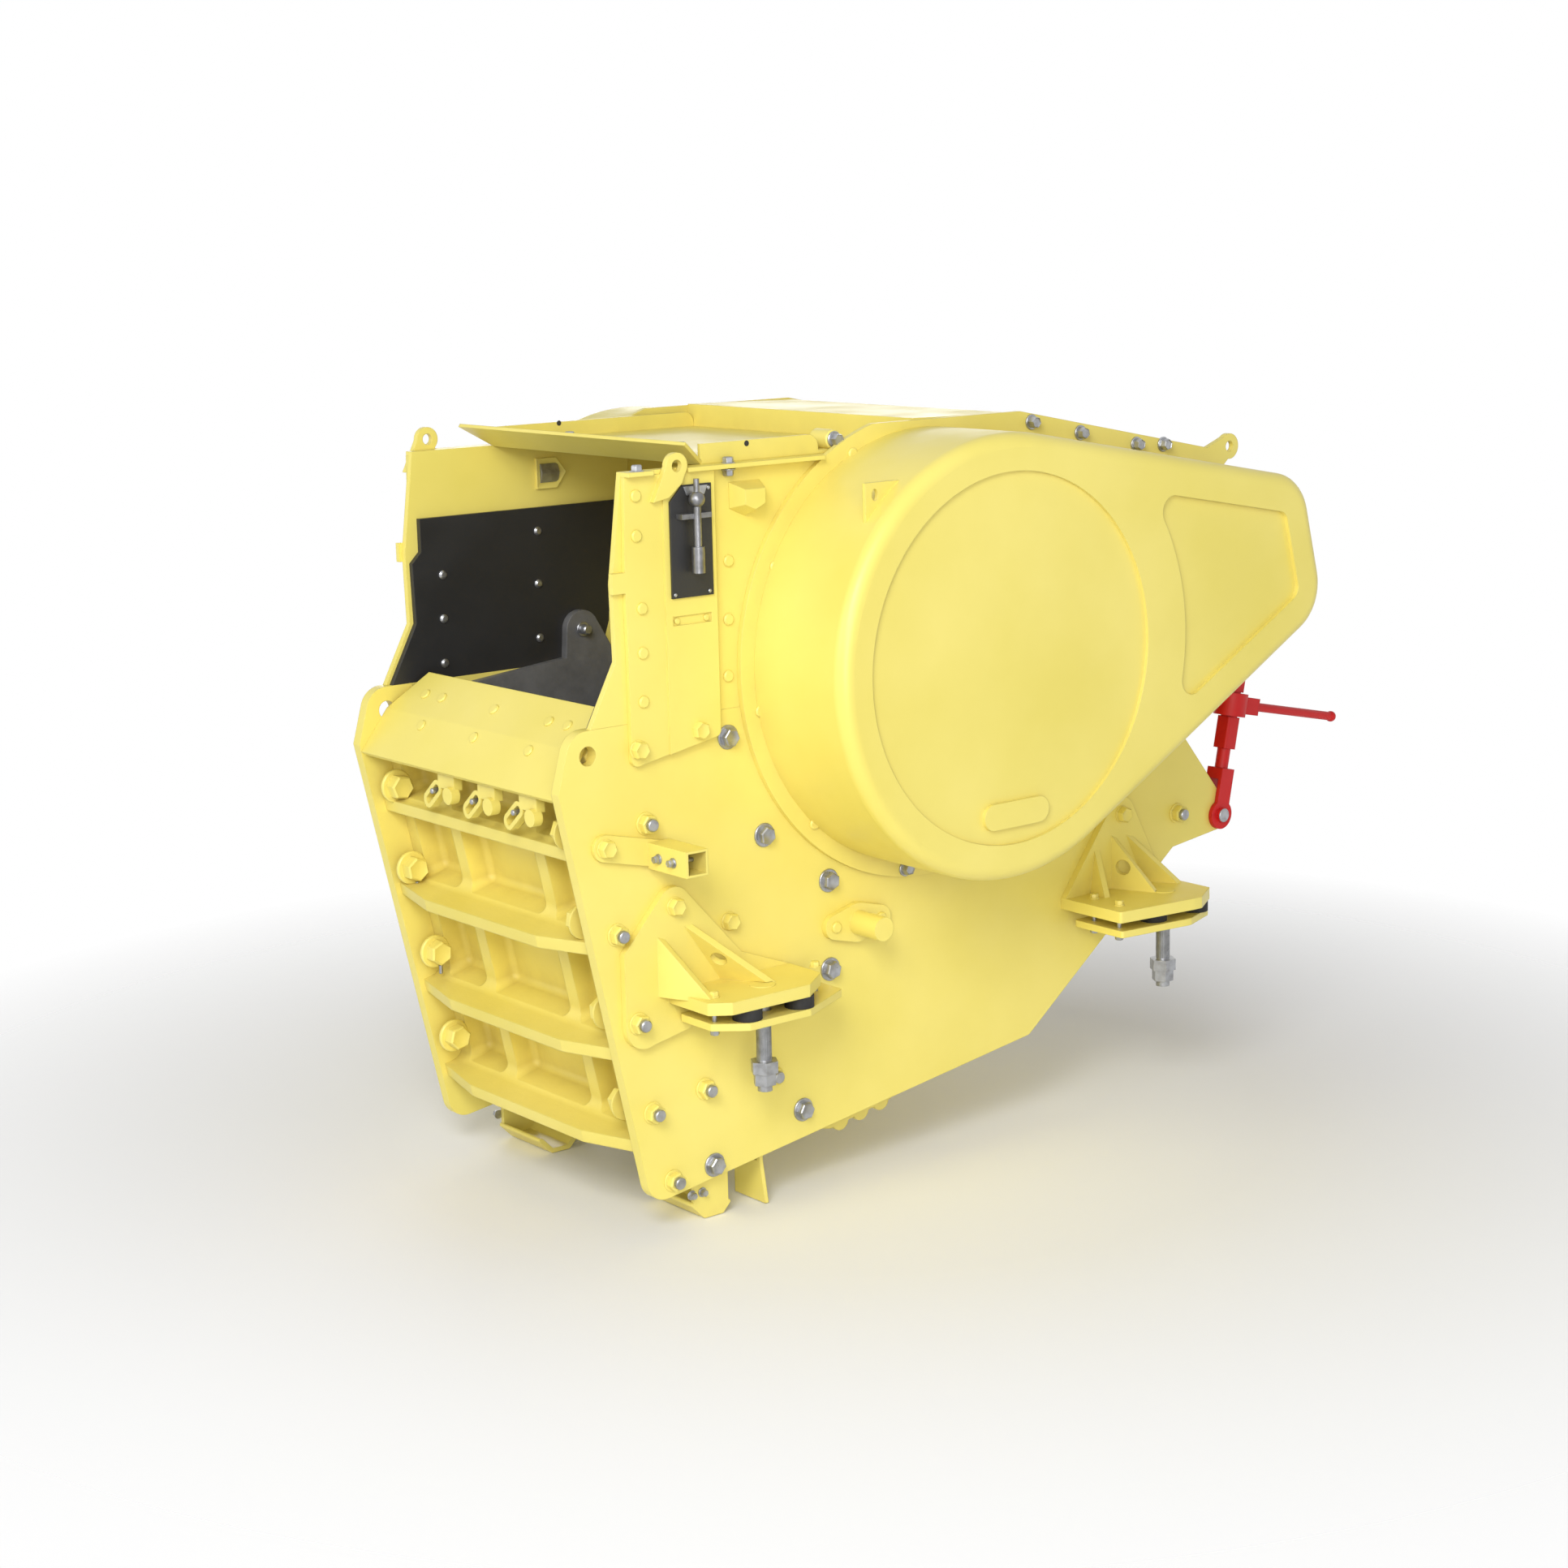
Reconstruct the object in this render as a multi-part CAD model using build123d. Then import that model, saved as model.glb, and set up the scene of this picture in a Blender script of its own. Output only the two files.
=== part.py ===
from build123d import *
import os
from math import atan2, cos, degrees, hypot, radians, sin, sqrt, tan

# A single-toggle jaw crusher for fixed plant, hung by four rubber-padded brackets.
# X runs from the feed lip at the front to the rear, Y to the left side, Z up.
# The origin is midway between the four holding-down studs, level with the base plates' undersides.

os.makedirs("parts", exist_ok=True)

# Side plates
frame_inner_width = 1120.0
side_plate_thickness = 40.0
front_top_x = -1514.0
front_top_z = 768.0
front_lean = 12.2
foot_radius = 70.0
break_radius = 30.0
rear_top_radius = 60.0
deck_radius = 90.0
front_corner = 12.0
bottom_rise = 8.0
bottom_break_x = 407.0
rear_rise = 37.9
rear_corner_x = 1120.0
rear_lug_x = 1356.0
rear_lug_z = 279.0
rear_lug_radius = 54.0
rear_lug_bore = 28.0
rear_top_x = 900.0
rear_top_z = 930.0
ear_x = -1403.0
ear_z = 873.0
ear_radius = 78.0
ear_bore = 30.0
boss_radius = 430.0

# Eccentric shaft
shaft_x = -66.0
shaft_z = 1060.0
shaft_radius = 115.0
shaft_clearance = 0.5

# Front frame end, a ribbed casting that leans with the front edge
front_depth = 250.0
front_wall = 70.0
front_top = 60.0
front_height = 1161.0
front_foot = 167.0
front_rib_bow = 30.0
front_rib_end = 20.0
front_rib_flat = 325.0
front_rib = 42.0
front_rib_shares = (0.142, 0.396, 0.706)
upright_y = 245.0
upright = 44.0
upright_recess = 100.0
upright_flare = 45.0
end_flange = 52.0
top_rib_recess = 40.0
pocket_radius = 34.0
pocket_draft = 3.0
pocket_floor_radius = 22.0

# Feed lip
lip_thickness = 20.0
lip_drop = 23.0
lip_low_angle = 52.0
lip_low_length = 171.0
lip_high_angle = 42.0
lip_high_length = 168.0
lip_top_width = 960.0
clamp_count = 3
clamp_pitch = 234.0
clamp_first = 351.0
clamp_inset = 15.0
clamp_length = 32.0
clamp_body_drop = 50.0
clamp_body_lead = 22.0
clamp_body_tail = 74.0
clamp_loop_length = 124.0
clamp_loop_width = 54.0
clamp_loop_bar = 15.0
clamp_loop_tilt = 40.0
clamp_loop_place = 58.0
clamp_loop_drop = 77.0
clamp_loop_thickness = 30.0
clamp_nut_radius = 28.0
clamp_nut_length = 32.0
clamp_nut_place = 55.0
clamp_nut_drop = 66.0

# Jaw dies and cheek plates
jaw_side_gap = 4.0
jaw_base = 58.0
jaw_tooth = 32.0
jaw_teeth = 13
fixed_jaw_top = 12.0
fixed_jaw_length = 1200.0
cheek_thickness = 30.0
cheek_gap = 4.0
cheek_front_z = 918.0
cheek_shoulder_x = -700.0
cheek_shoulder_z = 968.0
cheek_ear_x = -628.0
cheek_ear_z = 1061.0
cheek_ear_radius = 66.0
cheek_ear_bore = 18.0
cheek_overlap = 200.0
cheek_tail = 64.0

# Moving jaw
jaw_top_x = -464.0
jaw_top_z = 910.0
moving_jaw_lean = 12.7
moving_jaw_length = 1400.0
run_gap = 10.0
barrel_radius = 290.0
pitman_wall = 75.0
pitman_rib = 42.0
pitman_rib_places = (170.0,)
pitman_tail_depth = 330.0
pitman_tail_height = 230.0
pitman_shoe_length = 270.0
pitman_shoe_rise = 10.0
pitman_shoe_height = 70.0
pitman_lump_radius = 34.0
pitman_lumps = 3
toggle_seat_back = 313.0
toggle_seat_rise = 220.0
toggle_rear_x = 440.0
toggle_rear_z = 20.0
toggle_thickness = 56.0
toggle_end_radius = 38.0
toggle_side_gap = 60.0
toggle_seat_clearance = 0.3

# Rear frame end
rear_seat_wall = 90.0
rear_beam_length = 640.0
rear_beam_depth = 330.0
rear_beam_wall = 62.0
rear_beam_webs = 2

# Hopper
hopper_wall = 20.0
hopper_liner = 20.0
hopper_front_low_x = -1391.0
hopper_knee_x = -1288.0
hopper_knee_z = 1145.0
hopper_clip_x = -1293.0
hopper_clip_z = 1381.0
hopper_top_front_x = -1249.0
hopper_top_z = 1712.0
hopper_rear_x = -380.0
liner_drop = 221.0
liner_edge = 14.0
liner_step = 36.0
panel_thickness = 18.0
panel_fold = 6.0
panel_fold_x = -1112.0
panel_front_x = -1253.0
panel_rear_x = -916.0
panel_low_z = 815.0
panel_rise = 10.5
panel_slot_length = 146.0
panel_slot_height = 28.0
panel_slot_drop = 56.0
clip_height = 63.0
clip_length = 118.0
clip_reach = 11.0
clip_rise = 33.0
top_flange_width = 62.0
top_flange_thickness = 14.0
top_flange_rear_x = -492.0
tool_panel_thickness = 8.0
tool_panel_width = 156.0
tool_panel_height = 341.0
tool_panel_drop = 52.0
tool_panel_inset = 20.0
tool_panel_cut = 48.0
tool_rod_radius = 12.5
tool_rod_rise = 75.0
tool_rod_length = 285.0
tool_ball_radius = 25.0
tool_ball_drop = 62.0
tool_sleeve_radius = 20.0
tool_sleeve_length = 80.0
tool_stud_radius = 9.0
tool_clip_width = 112.0
tool_clip_height = 16.0
tool_clip_drop = 112.0
sensor_cover_x = -785.0
sensor_cover_drop = 114.0
sensor_cover_width = 120.0
sensor_cover_height = 108.0
sensor_cover_depth = 58.0
right_lug_x = -1067.0
right_lug_rise = 8.0
left_lug_x = -1163.0
left_lug_rise = 34.0
hopper_lug_radius = 40.0
hopper_lug_bore = 18.0
hopper_lug_thickness = 20.0
hopper_lug_lead = 90.0
hopper_lug_drop = 104.0
hopper_lug_slit = 2.0

# Hopper tray
tray_thickness = 12.0
tray_front_x = -935.0
tray_rear_x = -95.0
tray_side_height = 62.0
tray_lip_angle = 34.0
tray_lip_length = 118.0
tray_lip_flare = 50.0
tray_near_length = 465.0
tray_corner = 40.0

# Roof cover between the guards
roof_thickness = 12.0
roof_front_height = 88.0
roof_drop = 6.0

# Flywheel and belt guards
guard_radius = 712.0
guard_depth = 430.0
guard_flange = 53.0
guard_plate = 20.0
guard_tip_top_x = 1160.0
guard_tip_top_z = 1384.0
guard_tip_top_radius = 170.0
guard_tip_low_x = 1213.0
guard_tip_low_z = 1160.0
guard_tip_low_radius = 175.0
guard_face_round = 46.0
guard_panel_radius = 593.0
guard_panel_step = 12.0
guard_window_radius = 770.0
guard_window_step = 16.0
guard_window_margin = 128.0
guard_window_corner = 52.0
guard_hatch_length = 280.0
guard_hatch_height = 86.0
guard_hatch_drop = 495.0
guard_hatch_thickness = 14.0
guard_crest_x = 363.0
guard_crest_z = 1795.0
guard_crest_front_x = 32.0
guard_crest_rear_x = 1293.0
guard_crest_rear_z = 1607.0
guard_lug_x = 1377.0
guard_lug_z = 1610.0
guard_lug_radius = 45.0
guard_lug_bore = 19.0

# Mounts
stud_spacing_x = 1786.0
stud_reach = 170.0
stud_radius = 24.0
stud_head_radius = 36.0
stud_head = 14.0
stud_below = 240.0
stud_end = 20.0
stud_nut = 80.0
stud_lock_nut = 66.0
stud_nut_height = 39.0
stud_clearance = 4.0
base_thickness = 24.0
base_front_lead = 222.0
base_front_lead_reach = 194.0
base_front_nose = 130.0
base_front_reach = 272.0
base_front_waist = 110.0
base_front_tail = 327.0
base_front_tail_reach = 163.0
base_rear_lead = 298.0
base_rear_lead_reach = 266.0
base_rear_nose = 6.0
base_rear_reach = 297.0
base_rear_waist = 10.0
base_rear_tail = 157.0
base_rear_tail_reach = 239.0
base_corner = 10.0
pad_thickness = 38.0
pad_radius = 47.0
pad_pitch_x = 206.0
pad_pitch_y = 106.0
bracket_plate = 40.0
bracket_back = 26.0
bracket_gusset = 24.0
bracket_hole = 27.0
bracket_apex_radius = 62.0
shelf_front_lead = 255.0
shelf_front_lead_reach = 225.0
shelf_front_nose = 195.0
shelf_front_reach = 270.0
shelf_front_waist = 110.0
shelf_front_tail = 223.0
shelf_front_tail_reach = 185.0
shelf_rear_lead = 330.0
shelf_rear_lead_reach = 290.0
shelf_rear_nose = 6.0
shelf_rear_reach = 327.0
shelf_rear_waist = 30.0
shelf_rear_tail = 151.0
shelf_rear_tail_reach = 250.0
front_bracket_apex_x = -1117.0
front_bracket_apex_z = 366.0
front_shoulder_x = -860.0
front_shoulder_z = 175.0
front_toe_x = -1240.0
front_toe_z = 5.0
front_toe_radius = 72.0
front_toe_step = 182.0
front_knee_z = 245.0
rear_bracket_apex_x = 835.0
rear_bracket_apex_z = 362.0
front_rib_top = -286.0
front_rib_top_z = 288.0
front_rib_root = -289.0
front_rib_foot = -207.0
front_rib_reach = 206.0
front_brace_top = -194.0
front_brace_top_z = 316.0
front_brace_root = -37.0
front_brace_foot = 50.0
front_brace_reach = 184.0
rear_rib_top = -176.0
rear_rib_top_z = 276.0
rear_rib_root = -203.0
rear_rib_foot = -216.0
rear_rib_reach = 118.0
rear_brace_top = -104.0
rear_brace_top_z = 304.0
rear_brace_root = -103.0
rear_brace_foot = -27.0
rear_brace_reach = 181.0
rear_tail_top = -38.0
rear_tail_top_z = 302.0
rear_tail_root = 62.0
rear_tail_foot = 137.0
rear_tail_reach = 137.0

# Side fittings
trunnion_x = -373.0
trunnion_z = 183.0
trunnion_radius = 40.0
trunnion_reach = 150.0
trunnion_flange = 22.0
trunnion_flange_radius = 66.0
trunnion_lobe = 96.0
trunnion_lobe_radius = 42.0
socket_bolt_x = -1362.0
socket_bolt_z = 585.0
socket_strap = 16.0
socket_strap_width = 84.0
socket_strap_drop = 13.0
socket_x = -1163.0
socket_size = 82.0
socket_wall = 8.0
socket_reach = 196.0

# Ratchet binder at the rear lug
binder_lean = 12.0
binder_length = 752.0
binder_barrel_start = 240.0
binder_barrel_length = 310.0
binder_barrel_radius = 30.0
binder_barrel_round = 8.0
binder_screw_radius = 24.0
binder_fork_gap = 1.0
binder_fork_plate = 16.0
binder_fork_radius = 52.0
binder_neck = 62.0
binder_block = 40.0
binder_pin_radius = 27.0
binder_pin_proud = 10.0
ratchet_place = 402.0
ratchet_height = 84.0
ratchet_radius = 58.0
ratchet_clearance = 0.5
ratchet_side_gap = 4.0
handle_length = 560.0
handle_radius = 16.0
handle_block_length = 130.0
handle_block_height = 62.0
handle_block_width = 44.0
handle_ball = 20.0

# Discharge deflectors
deflector_thickness = 16.0
deflector_lead = 237.0
deflector_drop = 135.0
deflector_slope = 45.0
deflector_length = 62.0
deflector_toe = 68.0
deflector_tail = 36.0
deflector_width = 250.0
deflector_rise = 75.0
skirt_thickness = 14.0
skirt_lead = 461.0
skirt_width = 135.0
skirt_rise = 84.0
skirt_gap = 36.0
skirt_drop = 172.0
skirt_flare = 26.0
skirt_clearance = 80.0

# Places worked out from the sizes above
inner_y = frame_inner_width / 2
outer_y = inner_y + side_plate_thickness
lean = radians(front_lean)
front_bottom = front_top + front_height
front_low = max(front_bottom, fixed_jaw_top + fixed_jaw_length)
front_edge_length = front_low + front_foot
foot_x = front_top_x + front_edge_length * sin(lean)
foot_z = front_top_z - front_edge_length * cos(lean)
break_z = foot_z + (bottom_break_x - foot_x) * tan(radians(bottom_rise))
rear_corner_z = break_z + (rear_corner_x - bottom_break_x) * tan(radians(rear_rise))
deck_z = ear_z + ear_radius


def slab(face, y_a, y_b):
    """A plate whose outline lies in the XZ plane, from one Y to the other."""
    high = max(y_a, y_b)
    return extrude(Plane.XZ.offset(-high) * face, amount=abs(y_a - y_b))


def outline(*corners):
    """A closed face from corners given as x, z and corner radius."""
    points = [(x, z) for x, z, _ in corners]
    radii = [r for _, _, r in corners]
    return make_face(FilletPolyline(*points, radius=radii, close=True))


def disc(x, z, radius):
    """A round face at a place in the XZ outline plane."""
    return Pos(x, z) * Circle(radius)


def front_point(depth, down):
    """The x and z of a point behind the front edge and down along it."""
    x = front_top_x + depth * cos(lean) + down * sin(lean)
    z = front_top_z + depth * sin(lean) - down * cos(lean)
    return x, z


def on_front(piece):
    """Leans a piece built upright, with its front at x = 0, to the front edge."""
    return Pos(front_top_x, 0, front_top_z) * Rot(0, -front_lean, 0) * piece


def left_of(piece):
    """The left-hand twin of a right-hand piece."""
    return mirror(piece, about=Plane.XZ)


def save(name, *pieces):
    """Writes one node, of one solid or of several that do not touch."""
    solids = [solid for piece in pieces for solid in piece.solids()]
    node = solids[0] if len(solids) == 1 else Compound(solids)
    node.label = name
    export_step(node, f"parts/{name}.step")


def save_pair(name, piece):
    """Writes a right-hand piece and its left-hand twin."""
    save(f"right_{name}", piece)
    save(f"left_{name}", left_of(piece))


# Side plates, flame-cut with a lifting ear in front, a rear lug and a bearing boss
lug_slope = atan2(rear_top_z - rear_lug_z, rear_lug_x - rear_top_x)
plate_face = make_face(
    FilletPolyline(
        (foot_x, foot_z),
        (bottom_break_x, break_z),
        (rear_corner_x, rear_corner_z),
        (rear_lug_x, rear_lug_z - rear_lug_radius),
        (rear_lug_x + rear_lug_radius * sin(lug_slope), rear_lug_z + rear_lug_radius * cos(lug_slope)),
        (rear_top_x, rear_top_z),
        (shaft_x + 0.6 * boss_radius, shaft_z + 0.8 * boss_radius),
        (shaft_x - 0.8 * boss_radius, shaft_z + 0.6 * boss_radius),
        (shaft_x - 1.1 * boss_radius, deck_z),
        (ear_x, deck_z),
        (ear_x - 0.96 * ear_radius, ear_z + 0.27 * ear_radius),
        (front_top_x, front_top_z),
        radius=[foot_radius, break_radius, 0, 0, 0, rear_top_radius, 0, 0, deck_radius, 0, 0, front_corner],
        close=True,
    )
)
plate_face += disc(ear_x, ear_z, ear_radius)
plate_face += disc(rear_lug_x, rear_lug_z, rear_lug_radius)
plate_face += disc(shaft_x, shaft_z, boss_radius)
plate_holes = disc(ear_x, ear_z, ear_bore)
plate_holes += disc(rear_lug_x, rear_lug_z, rear_lug_bore)
plate_holes += disc(shaft_x, shaft_z, shaft_radius + shaft_clearance)
save_pair("side_plate", slab(plate_face - plate_holes, -inner_y, -outer_y))

# Eccentric shaft, run through both plates and the moving jaw
shaft = Rot(90, 0, 0) * Cylinder(shaft_radius, 2 * outer_y)
save("eccentric_shaft", Pos(shaft_x, 0, shaft_z) * shaft)

# Feed lip, a plate bent once over the top of the front frame end, with clamps welded below its edge
lip_low = radians(lip_low_angle)
lip_high = radians(lip_high_angle)
lip_mid = (lip_low + lip_high) / 2
lip_mitre = lip_thickness / cos((lip_low - lip_high) / 2)
lip_start = Vector(front_top_x + lip_drop * sin(lean), front_top_z - lip_drop * cos(lean))
lip_bend = lip_start + Vector(cos(lip_low), sin(lip_low)) * lip_low_length
lip_end = lip_bend + Vector(cos(lip_high), sin(lip_high)) * lip_high_length
lip_start_under = lip_start + Vector(sin(lip_low), -cos(lip_low)) * lip_thickness
lip_bend_under = lip_bend + Vector(sin(lip_mid), -cos(lip_mid)) * lip_mitre
lip_end_under = lip_end + Vector(sin(lip_high), -cos(lip_high)) * lip_thickness
lip_profile = Polyline(
    lip_start, lip_bend, lip_end, lip_end_under, lip_bend_under, lip_start_under, close=True
)
lip = slab(make_face(lip_profile), inner_y, -inner_y)
lip_corner = make_face(
    Polyline((lip_bend.X, inner_y), (lip_end_under.X, inner_y), (lip_end_under.X, lip_top_width / 2), close=True)
)
for side in (1, -1):
    corner = extrude(Pos(0, 0, deck_z - 2 * lip_high_length) * lip_corner, amount=4 * lip_high_length)
    lip -= corner if side > 0 else left_of(corner)
clamp_x = lip_start_under.X + clamp_inset
clamp_side = make_face(
    Polyline(
        (clamp_x, lip_start_under.Y + clamp_inset * tan(lip_low)),
        (clamp_x + clamp_length, lip_start_under.Y + (clamp_inset + clamp_length) * tan(lip_low)),
        (clamp_x + clamp_length, lip_start_under.Y - clamp_body_drop),
        (clamp_x, lip_start_under.Y - clamp_body_drop),
        close=True,
    )
)
clamp = slab(clamp_side, clamp_body_lead, -clamp_body_tail)
loop_face = SlotOverall(clamp_loop_length, clamp_loop_width)
loop_face -= SlotOverall(clamp_loop_length - 2 * clamp_loop_bar, clamp_loop_width - 2 * clamp_loop_bar)
loop_face = Pos(clamp_loop_place, lip_start_under.Y - clamp_loop_drop) * Rot(0, 0, -clamp_loop_tilt) * loop_face
clamp += extrude(Plane.YZ.offset(clamp_x) * loop_face, amount=clamp_loop_thickness)
clamp_nut = Pos(-clamp_nut_place, lip_start_under.Y - clamp_nut_drop) * Circle(clamp_nut_radius)
clamp += extrude(Plane.YZ.offset(clamp_x - clamp_inset) * clamp_nut, amount=clamp_nut_length)
for number in range(clamp_count):
    lip += Pos(0, number * clamp_pitch - clamp_first, 0) * clamp
save("feed_lip_plate", lip)

# Front frame end: the back wall and its horizontal ribs, bowed out between the side plates
front_plan = make_face(
    Polyline(
        (front_depth, -inner_y),
        (front_depth, inner_y),
        (front_rib_end, inner_y),
        (-front_rib_bow, front_rib_flat),
        (-front_rib_bow, -front_rib_flat),
        (front_rib_end, -inner_y),
        close=True,
    )
)
casting = Pos(0, 0, -front_bottom) * extrude(front_plan, amount=front_height)
rib_places = [front_top + share * front_height for share in front_rib_shares]
row_edges = (front_top - 1.5 * front_rib, *rib_places, front_bottom - front_rib / 2)
columns = (
    (-inner_y + end_flange, -upright_y - upright / 2),
    (-upright_y + upright / 2, upright_y - upright / 2),
    (upright_y + upright / 2, inner_y - end_flange),
)
pocket_depth = front_depth - front_wall + front_rib_bow
for above, below in zip(row_edges, row_edges[1:]):
    pocket_height = below - above - front_rib
    pocket_z = -(above + below) / 2
    corner = min(pocket_radius, 0.4 * pocket_height)
    for y_low, y_high in columns:
        mouth = RectangleRounded(y_high - y_low, pocket_height, corner)
        mouth = Plane.YZ.offset(-front_rib_bow) * Pos((y_low + y_high) / 2, pocket_z) * mouth
        pocket = extrude(mouth, amount=pocket_depth, taper=pocket_draft)
        floor = pocket.faces().sort_by(Axis.X)[-1]
        casting -= fillet(floor.edges(), min(pocket_floor_radius, 0.2 * pocket_height))
    scoop_width = 2 * (upright_recess + front_rib_bow)
    scoop = RectangleRounded(scoop_width, pocket_height, min(upright_flare, 0.45 * pocket_height))
    casting -= slab(Pos(-front_rib_bow, pocket_z) * scoop, inner_y, -inner_y)
top_rib_cut = rib_places[0] + 0.6 * front_rib
recess = Box(2 * top_rib_recess, 2 * inner_y, 2 * top_rib_cut, align=(Align.CENTER, Align.CENTER, Align.CENTER))
casting = on_front(casting - recess)
lip_seat = lip_bend_under + (lip_end_under - lip_bend_under) * 0.7
beam_profile = Polyline(
    lip_bend_under,
    lip_seat,
    front_point(front_depth, front_top + front_rib),
    front_point(front_depth - front_wall, front_top + front_rib),
    close=True,
)
save("front_frame_end", casting + slab(make_face(beam_profile), inner_y, -inner_y))


def toothed(width):
    """The plan of a jaw die, its back at x = 0 and its teeth towards +x."""
    pitch = width / jaw_teeth
    points = [(0, -width / 2)]
    for tooth in range(jaw_teeth):
        y = -width / 2 + tooth * pitch
        points += [(jaw_base, y), (jaw_base, y + 0.16 * pitch)]
        points += [(jaw_base + jaw_tooth, y + 0.40 * pitch), (jaw_base + jaw_tooth, y + 0.60 * pitch)]
        points += [(jaw_base, y + 0.84 * pitch)]
    points += [(jaw_base, width / 2), (0, width / 2)]
    return make_face(Polyline(*points, close=True))


# Fixed jaw die, on the back of the front frame end
fixed_plan = toothed(frame_inner_width - 2 * jaw_side_gap)
fixed_jaw = extrude(Pos(front_depth, 0) * fixed_plan, amount=-fixed_jaw_length)
save("fixed_jaw_plate", on_front(Pos(0, 0, -fixed_jaw_top) * fixed_jaw))

# Moving jaw die and the line of its back
swing_lean = radians(moving_jaw_lean)
jaw_down = Vector(-sin(swing_lean), -cos(swing_lean))
jaw_back = Vector(cos(swing_lean), -sin(swing_lean))
jaw_depth = jaw_base + jaw_tooth
pitman_width = frame_inner_width - 2 * (cheek_thickness + run_gap)
moving_jaw = extrude(Rot(0, 0, 180) * toothed(pitman_width), amount=-moving_jaw_length)
jaw_top = Vector(jaw_top_x, jaw_top_z)
die_back_top = jaw_top + jaw_back * jaw_depth
moving_jaw = Pos(die_back_top.X, 0, die_back_top.Y) * Rot(0, moving_jaw_lean, 0) * moving_jaw
save("moving_jaw_plate", moving_jaw)

# Pitman: a bearing barrel, a front wall behind the die, webs, and a tail with the toggle seat and a lumpy shoe
die_back_low = die_back_top + jaw_down * moving_jaw_length
wall_profile = Polyline(
    die_back_top,
    die_back_low,
    die_back_low + jaw_back * pitman_wall,
    die_back_top + jaw_back * pitman_wall,
    close=True,
)
toggle_front = die_back_low + jaw_back * toggle_seat_back - jaw_down * toggle_seat_rise
toggle_run = Vector(toggle_rear_x, toggle_rear_z) - toggle_front
toggle_across = Vector(-toggle_run.Y, toggle_run.X) * (toggle_end_radius / toggle_run.length)
tail_top = die_back_low - jaw_down * pitman_tail_height
shoe_start = die_back_low + jaw_back * pitman_tail_depth * 0.8
shoe_line = Vector(cos(radians(pitman_shoe_rise)), sin(radians(pitman_shoe_rise)))
shoe_end = shoe_start + shoe_line * pitman_shoe_length
tail_profile = Polyline(
    die_back_low,
    shoe_start,
    shoe_end,
    shoe_end + Vector(-pitman_shoe_height, pitman_shoe_height),
    toggle_front - toggle_across * 1.6,
    toggle_front + toggle_across * 1.6,
    tail_top + jaw_back * pitman_wall,
    tail_top,
    close=True,
)
web_profile = Polyline(
    die_back_top,
    die_back_low,
    toggle_front + toggle_across * 1.6,
    (shaft_x + 0.55 * barrel_radius, shaft_z - 0.8 * barrel_radius),
    (shaft_x, shaft_z),
    close=True,
)
half_pitman = pitman_width / 2
barrel_face = disc(shaft_x, shaft_z, barrel_radius)
solid_face = barrel_face + make_face(wall_profile) + make_face(tail_profile)
for number in range(pitman_lumps):
    lump = shoe_start + shoe_line * (pitman_shoe_length * (number + 0.5) / pitman_lumps)
    solid_face += disc(lump.X, lump.Y + pitman_lump_radius / 3, pitman_lump_radius)
web_face = solid_face + make_face(web_profile)
pitman = slab(web_face, half_pitman, -half_pitman)
web_places = sorted([*pitman_rib_places, half_pitman - pitman_rib / 2])
web_places = [-y for y in reversed(web_places)] + web_places
for low, high in zip(web_places, web_places[1:]):
    pitman -= slab(web_face - solid_face, high - pitman_rib / 2, low + pitman_rib / 2)
pitman -= slab(disc(shaft_x, shaft_z, shaft_radius + shaft_clearance), half_pitman, -half_pitman)
seat_radius = toggle_end_radius + toggle_seat_clearance
pitman -= slab(disc(toggle_front.X, toggle_front.Y, seat_radius), half_pitman, -half_pitman)
save("pitman", pitman)

# Toggle plate, a flat link with rounded ends
toggle_angle = degrees(atan2(toggle_run.Y, toggle_run.X))
toggle_face = Pos(toggle_run.length / 2, 0) * Rectangle(toggle_run.length, toggle_thickness)
toggle_face += Circle(toggle_end_radius)
toggle_face += Pos(toggle_run.length, 0) * Circle(toggle_end_radius)
toggle_face = Pos(toggle_front.X, toggle_front.Y) * Rot(0, 0, toggle_angle) * toggle_face
half_toggle = half_pitman - toggle_side_gap
save("toggle_plate", slab(toggle_face, half_toggle, -half_toggle))

# Rear frame end, a cast beam with the rear toggle seat, cored open to the rear
rear_along = Vector(cos(radians(rear_rise)), sin(radians(rear_rise)))
rear_up = Vector(-rear_along.Y, rear_along.X)
seat_centre = Vector(toggle_rear_x, toggle_rear_z)
beam_low = seat_centre - rear_up * (rear_beam_depth / 2)
beam_face = make_face(
    Polyline(
        beam_low,
        beam_low + rear_along * rear_beam_length,
        beam_low + rear_along * rear_beam_length + rear_up * rear_beam_depth,
        beam_low + rear_up * rear_beam_depth,
        close=True,
    )
)
rear_beam = slab(beam_face, inner_y, -inner_y)
core_low = beam_low + rear_along * rear_seat_wall + rear_up * rear_beam_wall
core_high = beam_low + rear_along * rear_seat_wall + rear_up * (rear_beam_depth - rear_beam_wall)
core_face = make_face(
    Polyline(
        core_low,
        core_low + rear_along * rear_beam_length,
        core_high + rear_along * rear_beam_length,
        core_high,
        close=True,
    )
)
core_pitch = frame_inner_width / (rear_beam_webs + 1)
for cell in range(rear_beam_webs + 1):
    core_y = -inner_y + (cell + 0.5) * core_pitch
    core_half = (core_pitch - rear_beam_wall) / 2
    rear_beam -= slab(core_face, core_y + core_half, core_y - core_half)
rear_beam -= slab(disc(toggle_rear_x, toggle_rear_z, seat_radius), inner_y, -inner_y)
save("rear_frame_end", rear_beam)

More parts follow.
